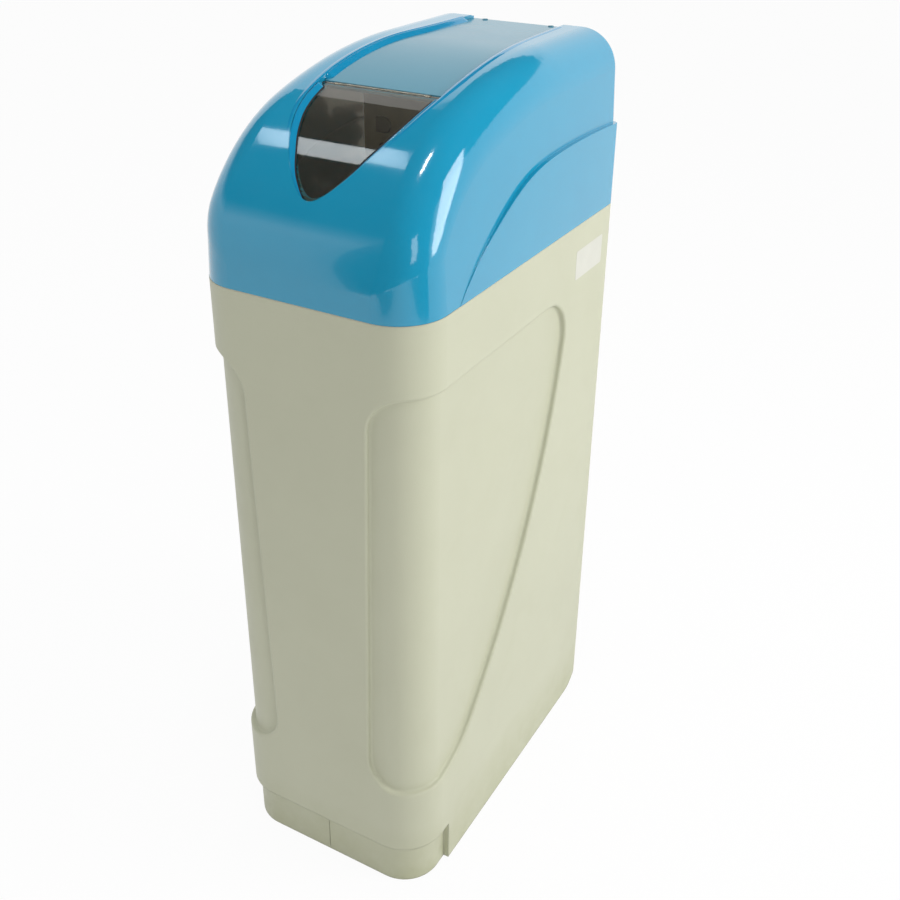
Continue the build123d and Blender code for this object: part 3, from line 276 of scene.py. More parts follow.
@dataclass(frozen=True)
class Finish:
    """A finish: a name, a colour with its darker mottle, and how rough it is."""

    name: str
    colour: Colour
    mottle: Colour
    roughness: float = 0.45
    spread: float = 0.08

    def material(self) -> bpy.types.Material:
        """Finds the finish's material, or builds it.

        Returns:
            The one material of this finish.
        """
        known = bpy.data.materials.get(self.name)
        if known:
            return known
        material = bpy.data.materials.new(self.name)
        material.use_nodes = True
        graph = Graph(material.node_tree)
        shader = material.node_tree.nodes["Principled BSDF"]
        place = graph.add("ShaderNodeTexCoord")
        self.write(graph, shader, place.outputs["Object"])
        return material

    def write(self, graph: Graph, shader: bpy.types.Node, place: bpy.types.NodeSocket) -> None:
        """Writes the finish's nodes.

        Args:
            graph: The material's tree.
            shader: Its surface shader.
            place: The object coordinates.
        """
        raise NotImplementedError

    def group(self, graph: Graph, name: str, place: bpy.types.NodeSocket,
              **values: float) -> bpy.types.Node:
        """Places a shared group in this material.

        Args:
            graph: The material's tree.
            name: The group's name.
            place: The object coordinates.
            **values: The group's inputs.

        Returns:
            The group's node.
        """
        node = graph.add("ShaderNodeGroup")
        node.node_tree = bpy.data.node_groups[name]
        graph.link(place, node.inputs["Vector"])
        for key, value in values.items():
            node.inputs[key.replace("_", " ")].default_value = value
        return node

    def mix(self, graph: Graph, mask: bpy.types.NodeSocket, first: Colour | bpy.types.NodeSocket,
            second: Colour, amount: float = 1.0) -> bpy.types.NodeSocket:
        """Mixes two colours by a mask.

        Args:
            graph: The material's tree.
            mask: Where the second colour shows.
            first: The first colour, or its socket.
            second: The second colour.
            amount: The mask's greatest share.

        Returns:
            The mixed colour's socket.
        """
        node = graph.add("ShaderNodeMix", data_type="RGBA")
        graph.link(graph.math("MULTIPLY", mask, amount), node.inputs["Factor"])
        if isinstance(first, tuple):
            node.inputs[6].default_value = (*first, 1.0)
        else:
            graph.link(first, node.inputs[6])
        node.inputs[7].default_value = (*second, 1.0)
        return node.outputs[2]


@dataclass(frozen=True)
class Plastic(Finish):
    """A moulded plastic, from matt and grained to polished."""

    grain: float = 0.02
    grain_scale: float = 900.0
    mottle_scale: float = 6.0
    coat: float = 0.0
    edge_r: float = 0.0
    coat_roughness: float = 0.03
    grain_height: float = 0.0006
    bottom_tint: Colour | None = None
    bottom_tint_height: float = 0.12
    bottom_tint_share: float = 0.6
    scratches: float = 0.25

    def write(self, graph: Graph, shader: bpy.types.Node, place: bpy.types.NodeSocket) -> None:
        """Writes mottle, marks, darkening towards the floor and grain for a plastic."""
        skin = self.group(graph, GROUPS.moulded, place, Mottle_Scale=self.mottle_scale,
                          Grain_Scale=self.grain_scale)
        marks = self.group(graph, GROUPS.rubbed, place)
        colour = self.mix(graph, skin.outputs["Mottle"], self.colour, self.mottle)
        # Where a bottom tint is given, the colour darkens towards the floor in patches, up to the
        # given height.
        if self.bottom_tint:
            bottom_tint = self.group(graph, GROUPS.floor_darkened, place, Height=self.bottom_tint_height)
            colour = self.mix(graph, bottom_tint.outputs["Darkening"], colour, self.bottom_tint, self.bottom_tint_share)
        graph.link(colour, shader.inputs["Base Color"])
        rough = graph.math("MULTIPLY", marks.outputs["Smear"], self.spread)
        lines = graph.math("MULTIPLY", marks.outputs["Scratch"], self.spread * self.scratches)
        rough = graph.math("ADD", graph.math("ADD", rough, lines), self.roughness)
        graph.link(rough, shader.inputs["Roughness"])
        shader.inputs["Coat Weight"].default_value = self.coat
        shader.inputs["Coat Roughness"].default_value = self.coat_roughness
        bump = graph.add("ShaderNodeBump", Strength=self.grain, Distance=self.grain_height)
        graph.link(skin.outputs["Grain"], bump.inputs["Height"])
        if self.edge_r:
            edge = graph.add("ShaderNodeBevel", samples=6, Radius=self.edge_r)
            graph.link(edge.outputs[0], bump.inputs["Normal"])
        graph.link(bump.outputs[0], shader.inputs["Normal"])


@dataclass(frozen=True)
class ClearPlastic(Finish):
    """A clear plastic, tinted in its depth."""

    ior: float = 1.49
    through: float = 1.0

    def write(self, graph: Graph, shader: bpy.types.Node, place: bpy.types.NodeSocket) -> None:
        """Writes a tinted clear shader with faint wipe marks."""
        skin = self.group(graph, GROUPS.moulded, place, Mottle_Scale=4.0)
        marks = self.group(graph, GROUPS.rubbed, place, Scratch_Scale=90.0)
        graph.link(self.mix(graph, skin.outputs["Mottle"], self.colour, self.mottle),
                   shader.inputs["Base Color"])
        rough = graph.math("MULTIPLY", marks.outputs["Smear"], self.spread)
        graph.link(graph.math("ADD", rough, self.roughness), shader.inputs["Roughness"])
        shader.inputs["Transmission Weight"].default_value = self.through
        shader.inputs["IOR"].default_value = self.ior


@dataclass(frozen=True)
class Metal(Finish):
    """A drawn or turned steel with fine lines."""

    line_scale: float = 240.0
    line_depth: float = 0.15
    line_height: float = 0.0002

    def write(self, graph: Graph, shader: bpy.types.Node, place: bpy.types.NodeSocket) -> None:
        """Writes fine lines and a little tarnish on metal."""
        lines = graph.add("ShaderNodeTexNoise", Scale=self.line_scale, Detail=2.0)
        stretch = graph.add("ShaderNodeMapping")
        stretch.inputs["Scale"].default_value = (1.0, 0.05, 1.0)
        graph.link(place, stretch.inputs["Vector"])
        graph.link(stretch.outputs[0], lines.inputs["Vector"])
        skin = self.group(graph, GROUPS.moulded, place, Mottle_Scale=40.0)
        graph.link(self.mix(graph, skin.outputs["Mottle"], self.colour, self.mottle),
                   shader.inputs["Base Color"])
        shader.inputs["Metallic"].default_value = 1.0
        rough = graph.math("MULTIPLY", lines.outputs[0], self.spread)
        graph.link(graph.math("ADD", rough, self.roughness), shader.inputs["Roughness"])
        bump = graph.add("ShaderNodeBump", Strength=self.line_depth, Distance=self.line_height)
        graph.link(lines.outputs[0], bump.inputs["Height"])
        graph.link(bump.outputs[0], shader.inputs["Normal"])


@dataclass(frozen=True)
class Beads(Finish):
    """A bed of small round beads."""

    bead_scale: float = 420.0
    bead_depth: float = 0.8
    bead_height: float = 0.0008

    def write(self, graph: Graph, shader: bpy.types.Node, place: bpy.types.NodeSocket) -> None:
        """Writes packed beads, each with its own tone."""
        cells = graph.add("ShaderNodeTexVoronoi", Scale=self.bead_scale)
        graph.link(place, cells.inputs["Vector"])
        tone = graph.add("ShaderNodeSeparateColor")
        graph.link(cells.outputs["Color"], tone.inputs[0])
        graph.link(self.mix(graph, tone.outputs[0], self.colour, self.mottle),
                   shader.inputs["Base Color"])
        gap = graph.math("MULTIPLY", cells.outputs["Distance"], self.spread)
        graph.link(graph.math("ADD", gap, self.roughness), shader.inputs["Roughness"])
        bump = graph.add("ShaderNodeBump", Strength=self.bead_depth, Distance=self.bead_height,
                         invert=True)
        graph.link(cells.outputs["Distance"], bump.inputs["Height"])
        graph.link(bump.outputs[0], shader.inputs["Normal"])


@dataclass(frozen=True)
class WoundFibre(Finish):
    """The resin-bound wound fibre of the pressure vessel."""

    centre_y: float = 0.125
    resin_coat: float = 0.4
    band_depth: float = 0.3
    band_height: float = 0.0006

    def write(self, graph: Graph, shader: bpy.types.Node, place: bpy.types.NodeSocket) -> None:
        """Writes crossing bands under a clear resin."""
        centre = graph.add("ShaderNodeMapping")
        centre.inputs["Location"].default_value = (0.0, -self.centre_y, 0.0)
        graph.link(place, centre.inputs["Vector"])
        bands = self.group(graph, GROUPS.wound, centre.outputs[0])
        graph.link(self.mix(graph, bands.outputs["Band"], self.colour, self.mottle),
                   shader.inputs["Base Color"])
        rough = graph.math("MULTIPLY", bands.outputs["Band"], self.spread)
        graph.link(graph.math("ADD", rough, self.roughness), shader.inputs["Roughness"])
        shader.inputs["Coat Weight"].default_value = self.resin_coat
        bump = graph.add("ShaderNodeBump", Strength=self.band_depth, Distance=self.band_height)
        graph.link(bands.outputs["Band"], bump.inputs["Height"])
        graph.link(bump.outputs[0], shader.inputs["Normal"])


@dataclass(frozen=True)
class CircuitBoard(Finish):
    """A lacquered board with copper runs under the lacquer."""

    track_scale: float = 190.0
    track_depth: float = 0.4
    track_height: float = 0.0002

    def write(self, graph: Graph, shader: bpy.types.Node, place: bpy.types.NodeSocket) -> None:
        """Writes square-edged runs over a green ground."""
        cells = graph.add("ShaderNodeTexVoronoi", Scale=self.track_scale, feature="F1",
                          distance="CHEBYCHEV")
        graph.link(place, cells.inputs["Vector"])
        runs = graph.ramp(cells.outputs["Distance"], 0.42, 0.46)
        graph.link(self.mix(graph, runs, self.colour, self.mottle), shader.inputs["Base Color"])
        rough = graph.math("MULTIPLY", runs, self.spread)
        graph.link(graph.math("ADD", rough, self.roughness), shader.inputs["Roughness"])
        bump = graph.add("ShaderNodeBump", Strength=self.track_depth, Distance=self.track_height)
        graph.link(runs, bump.inputs["Height"])
        graph.link(bump.outputs[0], shader.inputs["Normal"])


# The cabinet's colour darkens towards the floor, to a dark olive, up to 0.11 m.
CABINET = Plastic("cabinet_moulding", (0.540, 0.550, 0.410), (0.512, 0.520, 0.386), 0.42, 0.10,
                  grain=0.22, mottle_scale=3.0, edge_r=0.0045, bottom_tint=(0.36, 0.37, 0.19),
                  bottom_tint_height=0.11)
HOOD = Plastic("hood_gloss_blue", (0.012, 0.305, 0.495), (0.010, 0.280, 0.465), 0.09, 0.08,
               grain=0.02, mottle_scale=4.0, coat=0.5, edge_r=0.0014)
RAIL = Plastic("rail_gloss_blue", (0.006, 0.265, 0.480), (0.005, 0.240, 0.450), 0.09, 0.08,
               grain=0.02, mottle_scale=8.0, coat=0.5)
PANEL = Plastic("panel_gloss_blue", (0.060, 0.265, 0.370), (0.052, 0.245, 0.345), 0.12, 0.10,
                grain=0.02, mottle_scale=5.0, edge_r=0.0006)
SMOKED = ClearPlastic("smoked_clear", (0.54, 0.50, 0.40), (0.51, 0.47, 0.375), 0.02, 0.05)
WINDOW = ClearPlastic("display_clear", (0.34, 0.42, 0.30), (0.30, 0.38, 0.26), 0.04, 0.05,
                      through=0.35)
BEIGE = Plastic("housing_beige", (0.72, 0.66, 0.47), (0.68, 0.62, 0.44), 0.42, 0.10,
                grain=0.15, edge_r=0.0008)
WHITE = Plastic("white_moulding", (0.70, 0.70, 0.65), (0.64, 0.64, 0.58), 0.40, 0.12,
                grain=0.12, mottle_scale=14.0, edge_r=0.0005)
GREY = Plastic("grey_moulding", (0.085, 0.09, 0.095), (0.07, 0.075, 0.08), 0.42, 0.12,
               grain=0.15, mottle_scale=16.0, edge_r=0.0005)
BLACK = Plastic("black_moulding", (0.016, 0.016, 0.018), (0.024, 0.024, 0.025), 0.38, 0.14,
                grain=0.15, mottle_scale=16.0, edge_r=0.0006)
KEY = Plastic("key_dark", (0.060, 0.058, 0.050), (0.070, 0.067, 0.058), 0.45, 0.10,
              grain=0.12, mottle_scale=40.0, edge_r=0.0006)
KEY_RED = Plastic("key_red_brown", (0.13, 0.022, 0.014), (0.10, 0.018, 0.012), 0.42, 0.10,
                  grain=0.12, mottle_scale=40.0, edge_r=0.0005)
LEVER = Plastic("lever_red", (0.36, 0.014, 0.010), (0.30, 0.011, 0.008), 0.28, 0.12,
                grain=0.05, mottle_scale=20.0, coat=0.3, edge_r=0.0010)
WELL = Plastic("well_tube", (0.62, 0.64, 0.60), (0.57, 0.59, 0.55), 0.38, 0.12, grain=0.10,
               mottle_scale=9.0)
TUBE = Plastic("brine_tube", (0.56, 0.60, 0.60), (0.50, 0.54, 0.54), 0.22, 0.12, grain=0.04,
               mottle_scale=30.0, coat=0.3)
FOAM = Plastic("float_foam", (0.54, 0.51, 0.42), (0.46, 0.43, 0.35), 0.70, 0.10, grain=0.6,
               grain_scale=500.0, mottle_scale=60.0)
RUBBER = Plastic("seal_rubber", (0.012, 0.012, 0.012), (0.020, 0.020, 0.020), 0.55, 0.12,
                 grain=0.25, mottle_scale=50.0)
LABEL = Plastic("blank_label", (0.62, 0.62, 0.55), (0.59, 0.59, 0.52), 0.35, 0.08, grain=0.05,
                mottle_scale=30.0)
STEEL = Metal("bright_steel", (0.60, 0.60, 0.58), (0.48, 0.47, 0.45), 0.22, 0.20)
MOTOR = Metal("motor_case", (0.50, 0.50, 0.49), (0.40, 0.40, 0.39), 0.30, 0.18)
RESIN = Beads("resin_beads", (0.40, 0.17, 0.03), (0.24, 0.09, 0.015), 0.35, 0.3)
VESSEL = WoundFibre("vessel_fibre", (0.010, 0.016, 0.024), (0.045, 0.060, 0.078), 0.30, 0.15)
BOARD = CircuitBoard("board_lacquer", (0.006, 0.070, 0.026), (0.030, 0.150, 0.055), 0.22, 0.15)


# ---------------------------------------------------------------- modelling helpers


def deselect_all() -> None:
    """Leaves nothing selected."""
    for thing in bpy.context.selected_objects:
        thing.select_set(False)


def take_up(thing: bpy.types.Object) -> None:
    """Makes one object the only one selected, and active."""
    deselect_all()
    thing.select_set(True)
    bpy.context.view_layer.objects.active = thing


def settle(thing: bpy.types.Object) -> None:
    """Moves an object's place, turn and size into its mesh."""
    take_up(thing)
    bpy.ops.object.transform_apply(location=True, rotation=True, scale=True)


def finish_with(thing: bpy.types.Object, kind: str, **values: object) -> None:
    """Adds a modifier and applies it.

    Args:
        thing: The object.
        kind: The modifier's type.
        **values: The modifier's properties.
    """
    take_up(thing)
    modifier = thing.modifiers.new(kind.lower(), kind)
    for key, value in values.items():
        setattr(modifier, key, value)
    bpy.ops.object.modifier_apply(modifier=modifier.name)


def wear(thing: bpy.types.Object, finish: Finish, body: Body) -> None:
    """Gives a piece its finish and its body.

    Args:
        thing: The finished piece.
        finish: Its finish.
        body: The body it rides on.
    """
    thing.data.materials.clear()
    thing.data.materials.append(finish.material())
    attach(thing, body.value)
    LOG.info("%s rides on %s", thing.name, body.value)


def box(name: str, low: Point, high: Point) -> bpy.types.Object:
    """Adds a box between two corners.

    Args:
        name: The piece's name.
        low: The lowest corner.
        high: The highest corner.

    Returns:
        The box, with its place in its mesh.
    """
    deselect_all()
    middle = [(a + b) / 2 for a, b in zip(low, high)]
    bpy.ops.mesh.primitive_cube_add(size=1.0, location=middle)
    thing = bpy.context.active_object
    thing.name = name
    thing.scale = [b - a for a, b in zip(low, high)]
    settle(thing)
    return thing


def draw_line(name: str, places: list[Point], closed: bool) -> bpy.types.Object:
    """Draws a straight-segmented line as a curve.

    Args:
        name: The curve's name.
        places: Its points.
        closed: Whether its ends meet.

    Returns:
        The curve.
    """
    deselect_all()
    bpy.ops.curve.primitive_nurbs_path_add(location=(0.0, 0.0, 0.0))
    thing = bpy.context.active_object
    thing.name = name
    thing.data.splines.clear()
    spline = thing.data.splines.new("POLY")
    spline.points.add(len(places) - 1)
    for target, place in zip(spline.points, places):
        target.co = (*place, 1.0)
    spline.use_cyclic_u = closed
    return thing


def sweep(name: str, path: list[Step], profile: Profile) -> bpy.types.Object:
    """Sweeps a closed profile along a path on a curved skin.

    Args:
        name: The piece's name.
        path: The path's steps. The profile's first value points to the right of the
            travel, its second one along the step's normal.
        profile: The profile's points.

    Returns:
        The swept piece as a closed mesh.
    """
    shape = draw_line(name + "_profile", [(across, up, 0.0) for across, up in profile], True)
    thing = draw_line(name, [tuple(step.place) for step in path], False)
    spline = thing.data.splines[0]
    last = len(path) - 1
    for k, (point, step) in enumerate(zip(spline.points, path)):
        along = (path[min(k + 1, last)].place - path[max(k - 1, 0)].place).normalized()
        up = (Vector((0.0, 0.0, 1.0)) - along * along.z).normalized()
        normal = (step.normal - along * along.dot(step.normal)).normalized()
        point.tilt = math.atan2(along.dot(up.cross(normal)), up.dot(normal))
        point.radius = step.size
    thing.data.twist_mode = "Z_UP"
    thing.data.bevel_mode = "OBJECT"
    thing.data.bevel_object = shape
    thing.data.use_fill_caps = True
    take_up(thing)
    bpy.ops.object.convert(target="MESH")
    thing = bpy.context.active_object
    bpy.data.objects.remove(shape)
    bpy.ops.object.mode_set(mode="EDIT")
    bpy.ops.mesh.select_all(action="SELECT")
    bpy.ops.mesh.remove_doubles(threshold=WELD)
    bpy.ops.mesh.normals_make_consistent(inside=False)
    bpy.ops.object.mode_set(mode="OBJECT")
    bpy.ops.object.shade_smooth_by_angle(angle=SMOOTH_SWEEP)
    return thing


# ---------------------------------------------------------------- the hood's lines


@dataclass(frozen=True)
class CrownLine:
    """The hood's profile from the side: a leaning front and three arcs."""

    front: float = -0.270
    seam: float = 0.880
    rise: float = 0.023
    nose_r: float = 0.156
    brow_r: float = 0.244
    crown_r: float = 0.739
    nose_turn: float = math.radians(51.7)
    brow_turn: float = math.radians(17.9)
    lean: float = math.radians(2.6)

    def arcs(self) -> list[tuple[float, float, float]]:
        """Centre and radius of each arc.

        Returns:
            A list of (y, z, radius), front first.
        """
        y = self.front + (self.nose_r + self.rise * math.sin(self.lean)) / math.cos(self.lean)
        z = self.seam + self.rise
        first = math.pi / 2 + self.nose_turn
        second = math.pi / 2 + self.brow_turn
        brow_y = y + (self.nose_r - self.brow_r) * math.cos(first)
        brow_z = z + (self.nose_r - self.brow_r) * math.sin(first)
        crown_y = brow_y + (self.brow_r - self.crown_r) * math.cos(second)
        crown_z = brow_z + (self.brow_r - self.crown_r) * math.sin(second)
        return [(y, z, self.nose_r), (brow_y, brow_z, self.brow_r),
                (crown_y, crown_z, self.crown_r)]

    def arc(self, y: float) -> tuple[float, float, float]:
        """The arc that a place lies under.

        Args:
            y: The place from front to rear.

        Returns:
            The arc's (y, z, radius).
        """
        arcs = self.arcs()
        if y < arcs[0][0] + self.nose_r * math.cos(math.pi / 2 + self.nose_turn):
            return arcs[0]
        if y < arcs[1][0] + self.brow_r * math.cos(math.pi / 2 + self.brow_turn):
            return arcs[1]
        return arcs[2]

    def normal(self, y: float) -> Vector:
        """The skin's outward normal.

        Args:
            y: The place from front to rear.

        Returns:
            The unit normal.
        """
        centre_y, _, radius = self.arc(y)
        lean = min((y - centre_y) / radius, 0.0)
        return Vector((0.0, lean, math.sqrt(1.0 - lean * lean)))

    def height(self, y: float, depth: float = 0.0) -> float:
        """The profile's height.

        Args:
            y: The place from front to rear.
            depth: How far under the surface.

        Returns:
            The height there.
        """
        centre_y, centre_z, radius = self.arc(y)
        if y >= self.arcs()[2][0]:
            return centre_z + radius - depth
        return centre_z + math.sqrt(max((radius - depth) ** 2 - (y - centre_y) ** 2, 0.0))


@dataclass(frozen=True)
class ChannelLine:
    """The channel's outline from above, as shares of its half width and length."""

    half: float = 0.085
    tip: float = -0.240
    rear: float = 0.271
    steps: int = 30
    shares: tuple[tuple[float, float], ...] = (
        (0.0, 0.0), (0.376, 0.031), (0.63, 0.082), (0.80, 0.136), (0.924, 0.206), (0.99, 0.315),
        (1.0, 0.44), (0.965, 0.59), (0.90, 0.73), (0.865, 0.86), (0.845, 1.0))

    def points(self, end: float) -> list[tuple[float, float]]:
        """The outline's right half from the tip to the rear, smoothly joined.

        Args:
            end: The last place towards the rear.

        Returns:
            A list of (x, y).
        """
        knots = [(self.half * a, self.tip + (self.rear - self.tip) * b) for a, b in self.shares]
        knots = [(-knots[1][0], knots[1][1])] + knots + [
            (2 * knots[-1][0] - knots[-2][0], 2 * knots[-1][1] - knots[-2][1])]
        line: list[tuple[float, float]] = []
        for k in range(1, len(knots) - 2):
            before, start, stop, after = (Vector(knots[k + i]) for i in (-1, 0, 1, 2))
            for step in range(self.steps):
                t = step / self.steps
                spot = 0.5 * (2 * start + (stop - before) * t
                              + (2 * before - 5 * start + 4 * stop - after) * t * t
                              + (3 * start - before - 3 * stop + after) * t ** 3)
                if spot.y <= end:
                    line.append((spot.x, spot.y))
        return line


CROWN = CrownLine()
CHANNEL = ChannelLine()


# ---------------------------------------------------------------- sub-assemblies


@dataclass
class Dressing:
    """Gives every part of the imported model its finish."""

    finishes: dict[str, Finish] = field(default_factory=lambda: {
        "cabinet": CABINET, "hood": HOOD, "top_panel": PANEL, "panel_screws": PANEL,
        "salt_lid": SMOKED, "lid_hinge_pins": STEEL, "resin_vessel": VESSEL,
        "vessel_foot": BLACK, "vessel_oring": RUBBER, "resin_bed": RESIN, "riser_tube": WHITE,
        "lower_distributor": WHITE, "upper_distributor": WHITE, "valve_body": BLACK,
        "seal_stack": RUBBER, "valve_spool": WHITE, "injector_cap": GREY, "brine_nut": GREY,
        "drain_elbow": BLACK, "control_backplate": GREY, "drive_gear": WHITE,
        "idler_gear": WHITE, "motor_pinion": WHITE, "drive_motor": MOTOR,
        "control_housing": BEIGE, "housing_screws": STEEL, "power_socket": BLACK,
        "circuit_board": BOARD, "display_window": WINDOW, "menu_button": KEY,
        "down_button": KEY, "up_button": KEY, "regeneration_button": KEY,
        "lock_button": KEY_RED, "union_nuts": GREY, "bypass_body": BLACK,
        "inlet_lever": LEVER, "outlet_lever": LEVER, "tail_nuts": GREY, "pipe_tails": BLACK,
        "meter_cage": WHITE, "meter_wheel": WHITE, "brine_well": WELL, "well_cap": WELL,
        "brine_valve": WHITE, "brine_line": TUBE, "float_rod": WHITE, "brine_float": FOAM,
        "salt_grid": WHITE, "overflow_bush": BLACK, "overflow_nut": BLACK,
    })

    def dress(self, nodes: dict[str, bpy.types.Object]) -> None:
        """Assigns the finishes.

        Args:
            nodes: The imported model's objects by name.
        """
        for name, finish in self.finishes.items():
            thing = nodes[name]
            thing.data.materials.clear()
            thing.data.materials.append(finish.material())
            LOG.info("%s is finished as %s", name, finish.name)


@dataclass(frozen=True)
class RimForm:
    """The sloping rim that stands in the channel, against its wall."""

    recess: float = 0.0050
    gap: float = 0.0008
    sink: float = 0.0004
    foot: float = 0.0086
    toe_high: float = 0.0003
    toe_in: float = 0.0004
    crest: tuple[tuple[float, float], ...] = (
        (0.0, 0.0010), (0.0006, 0.0003), (0.0014, 0.0), (0.0024, 0.0005))
    seal: float = 0.0018
    seal_high: float = 0.0005
    lip_out: float = 0.0085
    lip_high: float = 0.0009
    lip_foot: float = 0.0020
    lip_inner: float = 0.0001
    lip_outer: float = 0.0004
    lip_crown: tuple[tuple[float, float], ...] = (
        (0.10, 0.0003), (0.30, 0.0), (0.55, 0.0002), (0.80, 0.0007))
    least: float = 0.3
    growth: float = 2.0
    decay: float = 0.5

    def ridge(self) -> Profile:
        """The rim's profile, measured from the channel's edge at the lid's face.

        Returns:
            A list of (outward, up).
        """
        crest = [(-self.gap - inward, self.recess - drop) for inward, drop in self.crest]
        return [(-self.gap, -self.sink), *crest, (-self.foot + self.toe_in, self.toe_high),
                (-self.foot, -self.sink)]

    def lip(self) -> Profile:
        """The profile of the rounded lip that stands on the skin outside the channel.

        Returns:
            A list of (outward, up).
        """
        top = self.recess + self.lip_high
        crown = [(self.lip_out * share, top - drop) for share, drop in self.lip_crown]
        return [(0.0, self.recess - self.lip_foot), (0.0, self.recess + self.lip_inner), *crown,
                (self.lip_out, self.recess - self.lip_outer),
                (self.lip_out, self.recess - self.lip_foot)]

    def strip(self) -> Profile:
        """The profile of the black seal at the rim's foot.

        Returns:
            A list of (outward, up).
        """
        near = -self.foot + self.toe_in
        return [(near, -self.sink), (near, self.seal_high), (near - self.seal, self.seal_high),
                (-self.foot - self.seal, -self.sink)]

    def path(self, start: float, end: float, run_in: float, run_out: float) -> list[Step]:
        """The right half of the rim's path, from the front to the rear.

        Args:
            start: The first place from front to rear.
            end: The last place.
            run_in: How long the rim takes to grow from its start.
            run_out: How long it takes to die towards its end.

        Returns:
            The path's steps.
        """
        steps = []
        for x, y in CHANNEL.points(end):
            if y < start:
                continue
            share = min(min(1.0, (y - start) / run_in) ** self.growth,
                        min(1.0, (end - y) / run_out) ** self.decay)
            size = self.least + (1.0 - self.least) * share
            steps.append(Step(Vector((x, y, CROWN.height(y, self.recess))), CROWN.normal(y), size))
        return steps


def mirrored(path: list[Step]) -> list[Step]:
    """A path's mirror image on the left, travelled the other way.

    Args:
        path: The path on the right.

    Returns:
        The path on the left.
    """
    return [Step(Vector((-step.place.x, step.place.y, step.place.z)), step.normal, step.size)
            for step in reversed(path)]


@dataclass
class LidRim:
    """The blue rim round the smoked lid, with the thin black seal at its foot."""

    form: RimForm = RimForm(least=0.45, growth=0.8)
    tail: RimForm = RimForm(decay=2.0)
    end: float = -0.0897
    nose_run: float = 0.0450
    tail_start: float = -0.1300
    tail_run: float = 0.0080

    def build(self) -> None:
        """Models the rim and the seal, which turn with the lid."""
        nose = self.form.path(CHANNEL.tip, self.end, self.nose_run, self.tail_run)
        tail = self.tail.path(CHANNEL.tip, self.end, self.tail_run, self.tail_run)
        right = [a if a.place.y < self.tail_start else b for a, b in zip(nose, tail)]
        path = mirrored(right[1:]) + right
        wear(sweep("lid_rim", path, self.form.ridge()), RAIL, Body.LID)
        wear(sweep("lid_seal", path, self.form.strip()), RUBBER, Body.LID)


@dataclass
class SideRails:
    """The rails that carry the rim's line on beside the top panel, and the lips outside."""

    form: RimForm = RimForm(gap=-0.0010)
    lip_form: RimForm = RimForm(least=0.84, growth=1.0)
    start: float = -0.0805
    end: float = 0.2450
    run_in: float = 0.0060
    run_out: float = 0.0070
    lip_start: float = -0.1900
    lip_run: float = 0.1300

    def build(self) -> None:
        """Models a rail and a lip on each side, fixed to the hood."""
        rail = self.form.path(self.start, self.end, self.run_in, self.run_out)
        lip = self.lip_form.path(self.lip_start, self.end, self.lip_run, self.run_out)
        for side, turn in (("right", list), ("left", mirrored)):
            wear(sweep("rail_" + side, turn(rail), self.form.ridge()), RAIL, Body.HOOD)
            wear(sweep("lip_" + side, turn(lip), self.form.lip()), RAIL, Body.HOOD)


@dataclass
class MouldSeam:
    """The flash line where the two halves of the mould met, on the toe's front."""

    half_width: float = 0.0005
    proud: float = 0.0004
    front: float = -0.262
    low: float = 0.006
    high: float = 0.064
    bevel_share: float = 0.6
    bevel_steps: int = 3

    def build(self) -> None:
        """Models the line as a slim ridge with rounded edges."""
        ridge = box("mould_seam", (-self.half_width, self.front - self.proud, self.low),
                    (self.half_width, self.front + self.proud, self.high))
        finish_with(ridge, "BEVEL", width=self.proud * self.bevel_share,
                    segments=self.bevel_steps, limit_method="ANGLE")
        bpy.ops.object.shade_smooth_by_angle(angle=SMOOTH_BLOCK)
        wear(ridge, CABINET, Body.FRAME)


@dataclass
class SideLabel:
    """The blank pale label on the cabinet's right side, under the hood."""

    face: float = 0.160
    thick: float = 0.00025
    low: Point = (0.0, 0.149, 0.800)
    high: Point = (0.0, 0.238, 0.842)
    corner: float = 0.003
    corner_steps: int = 5

    def build(self) -> None:
        """Models a thin label with round corners."""
        deselect_all()
        middle = (self.face, (self.low[1] + self.high[1]) / 2, (self.low[2] + self.high[2]) / 2)
        bpy.ops.mesh.primitive_plane_add(size=1.0, location=middle,
                                         rotation=(0.0, math.pi / 2, 0.0))
        label = bpy.context.active_object
        label.name = "side_label"
        label.scale = (self.high[2] - self.low[2], self.high[1] - self.low[1], 1.0)
        settle(label)
        bpy.ops.object.mode_set(mode="EDIT")
        bpy.ops.mesh.select_all(action="SELECT")
        bpy.ops.mesh.bevel(offset=self.corner, segments=self.corner_steps, affect="VERTICES")
        bpy.ops.mesh.extrude_region_move(TRANSFORM_OT_translate={"value": (self.thick, 0, 0)})
        bpy.ops.mesh.select_all(action="SELECT")
        bpy.ops.mesh.normals_make_consistent(inside=False)
        bpy.ops.object.mode_set(mode="OBJECT")
        wear(label, LABEL, Body.FRAME)


# ---------------------------------------------------------------- studio


@dataclass(frozen=True)
class Softbox:
    """A soft area lamp that looks at a point, and whether glossy pieces show it."""

    name: str
    place: Point
    target: Point
    width: float
    height: float
    power: float
    colour: Colour = (1.0, 1.0, 1.0)
    in_gloss: bool = True

    def build(self) -> None:
        """Adds the lamp."""
        data = bpy.data.lights.new(self.name, "AREA")
        data.shape = "RECTANGLE"
        data.size = self.width
        data.size_y = self.height
        data.energy = self.power
        data.color = self.colour
        lamp = bpy.data.objects.new(self.name, data)
        bpy.context.scene.collection.objects.link(lamp)
        aim = Vector(self.target) - Vector(self.place)
        lamp.location = self.place
        lamp.rotation_euler = aim.to_track_quat("-Z", "Y").to_euler()
        lamp.visible_glossy = self.in_gloss


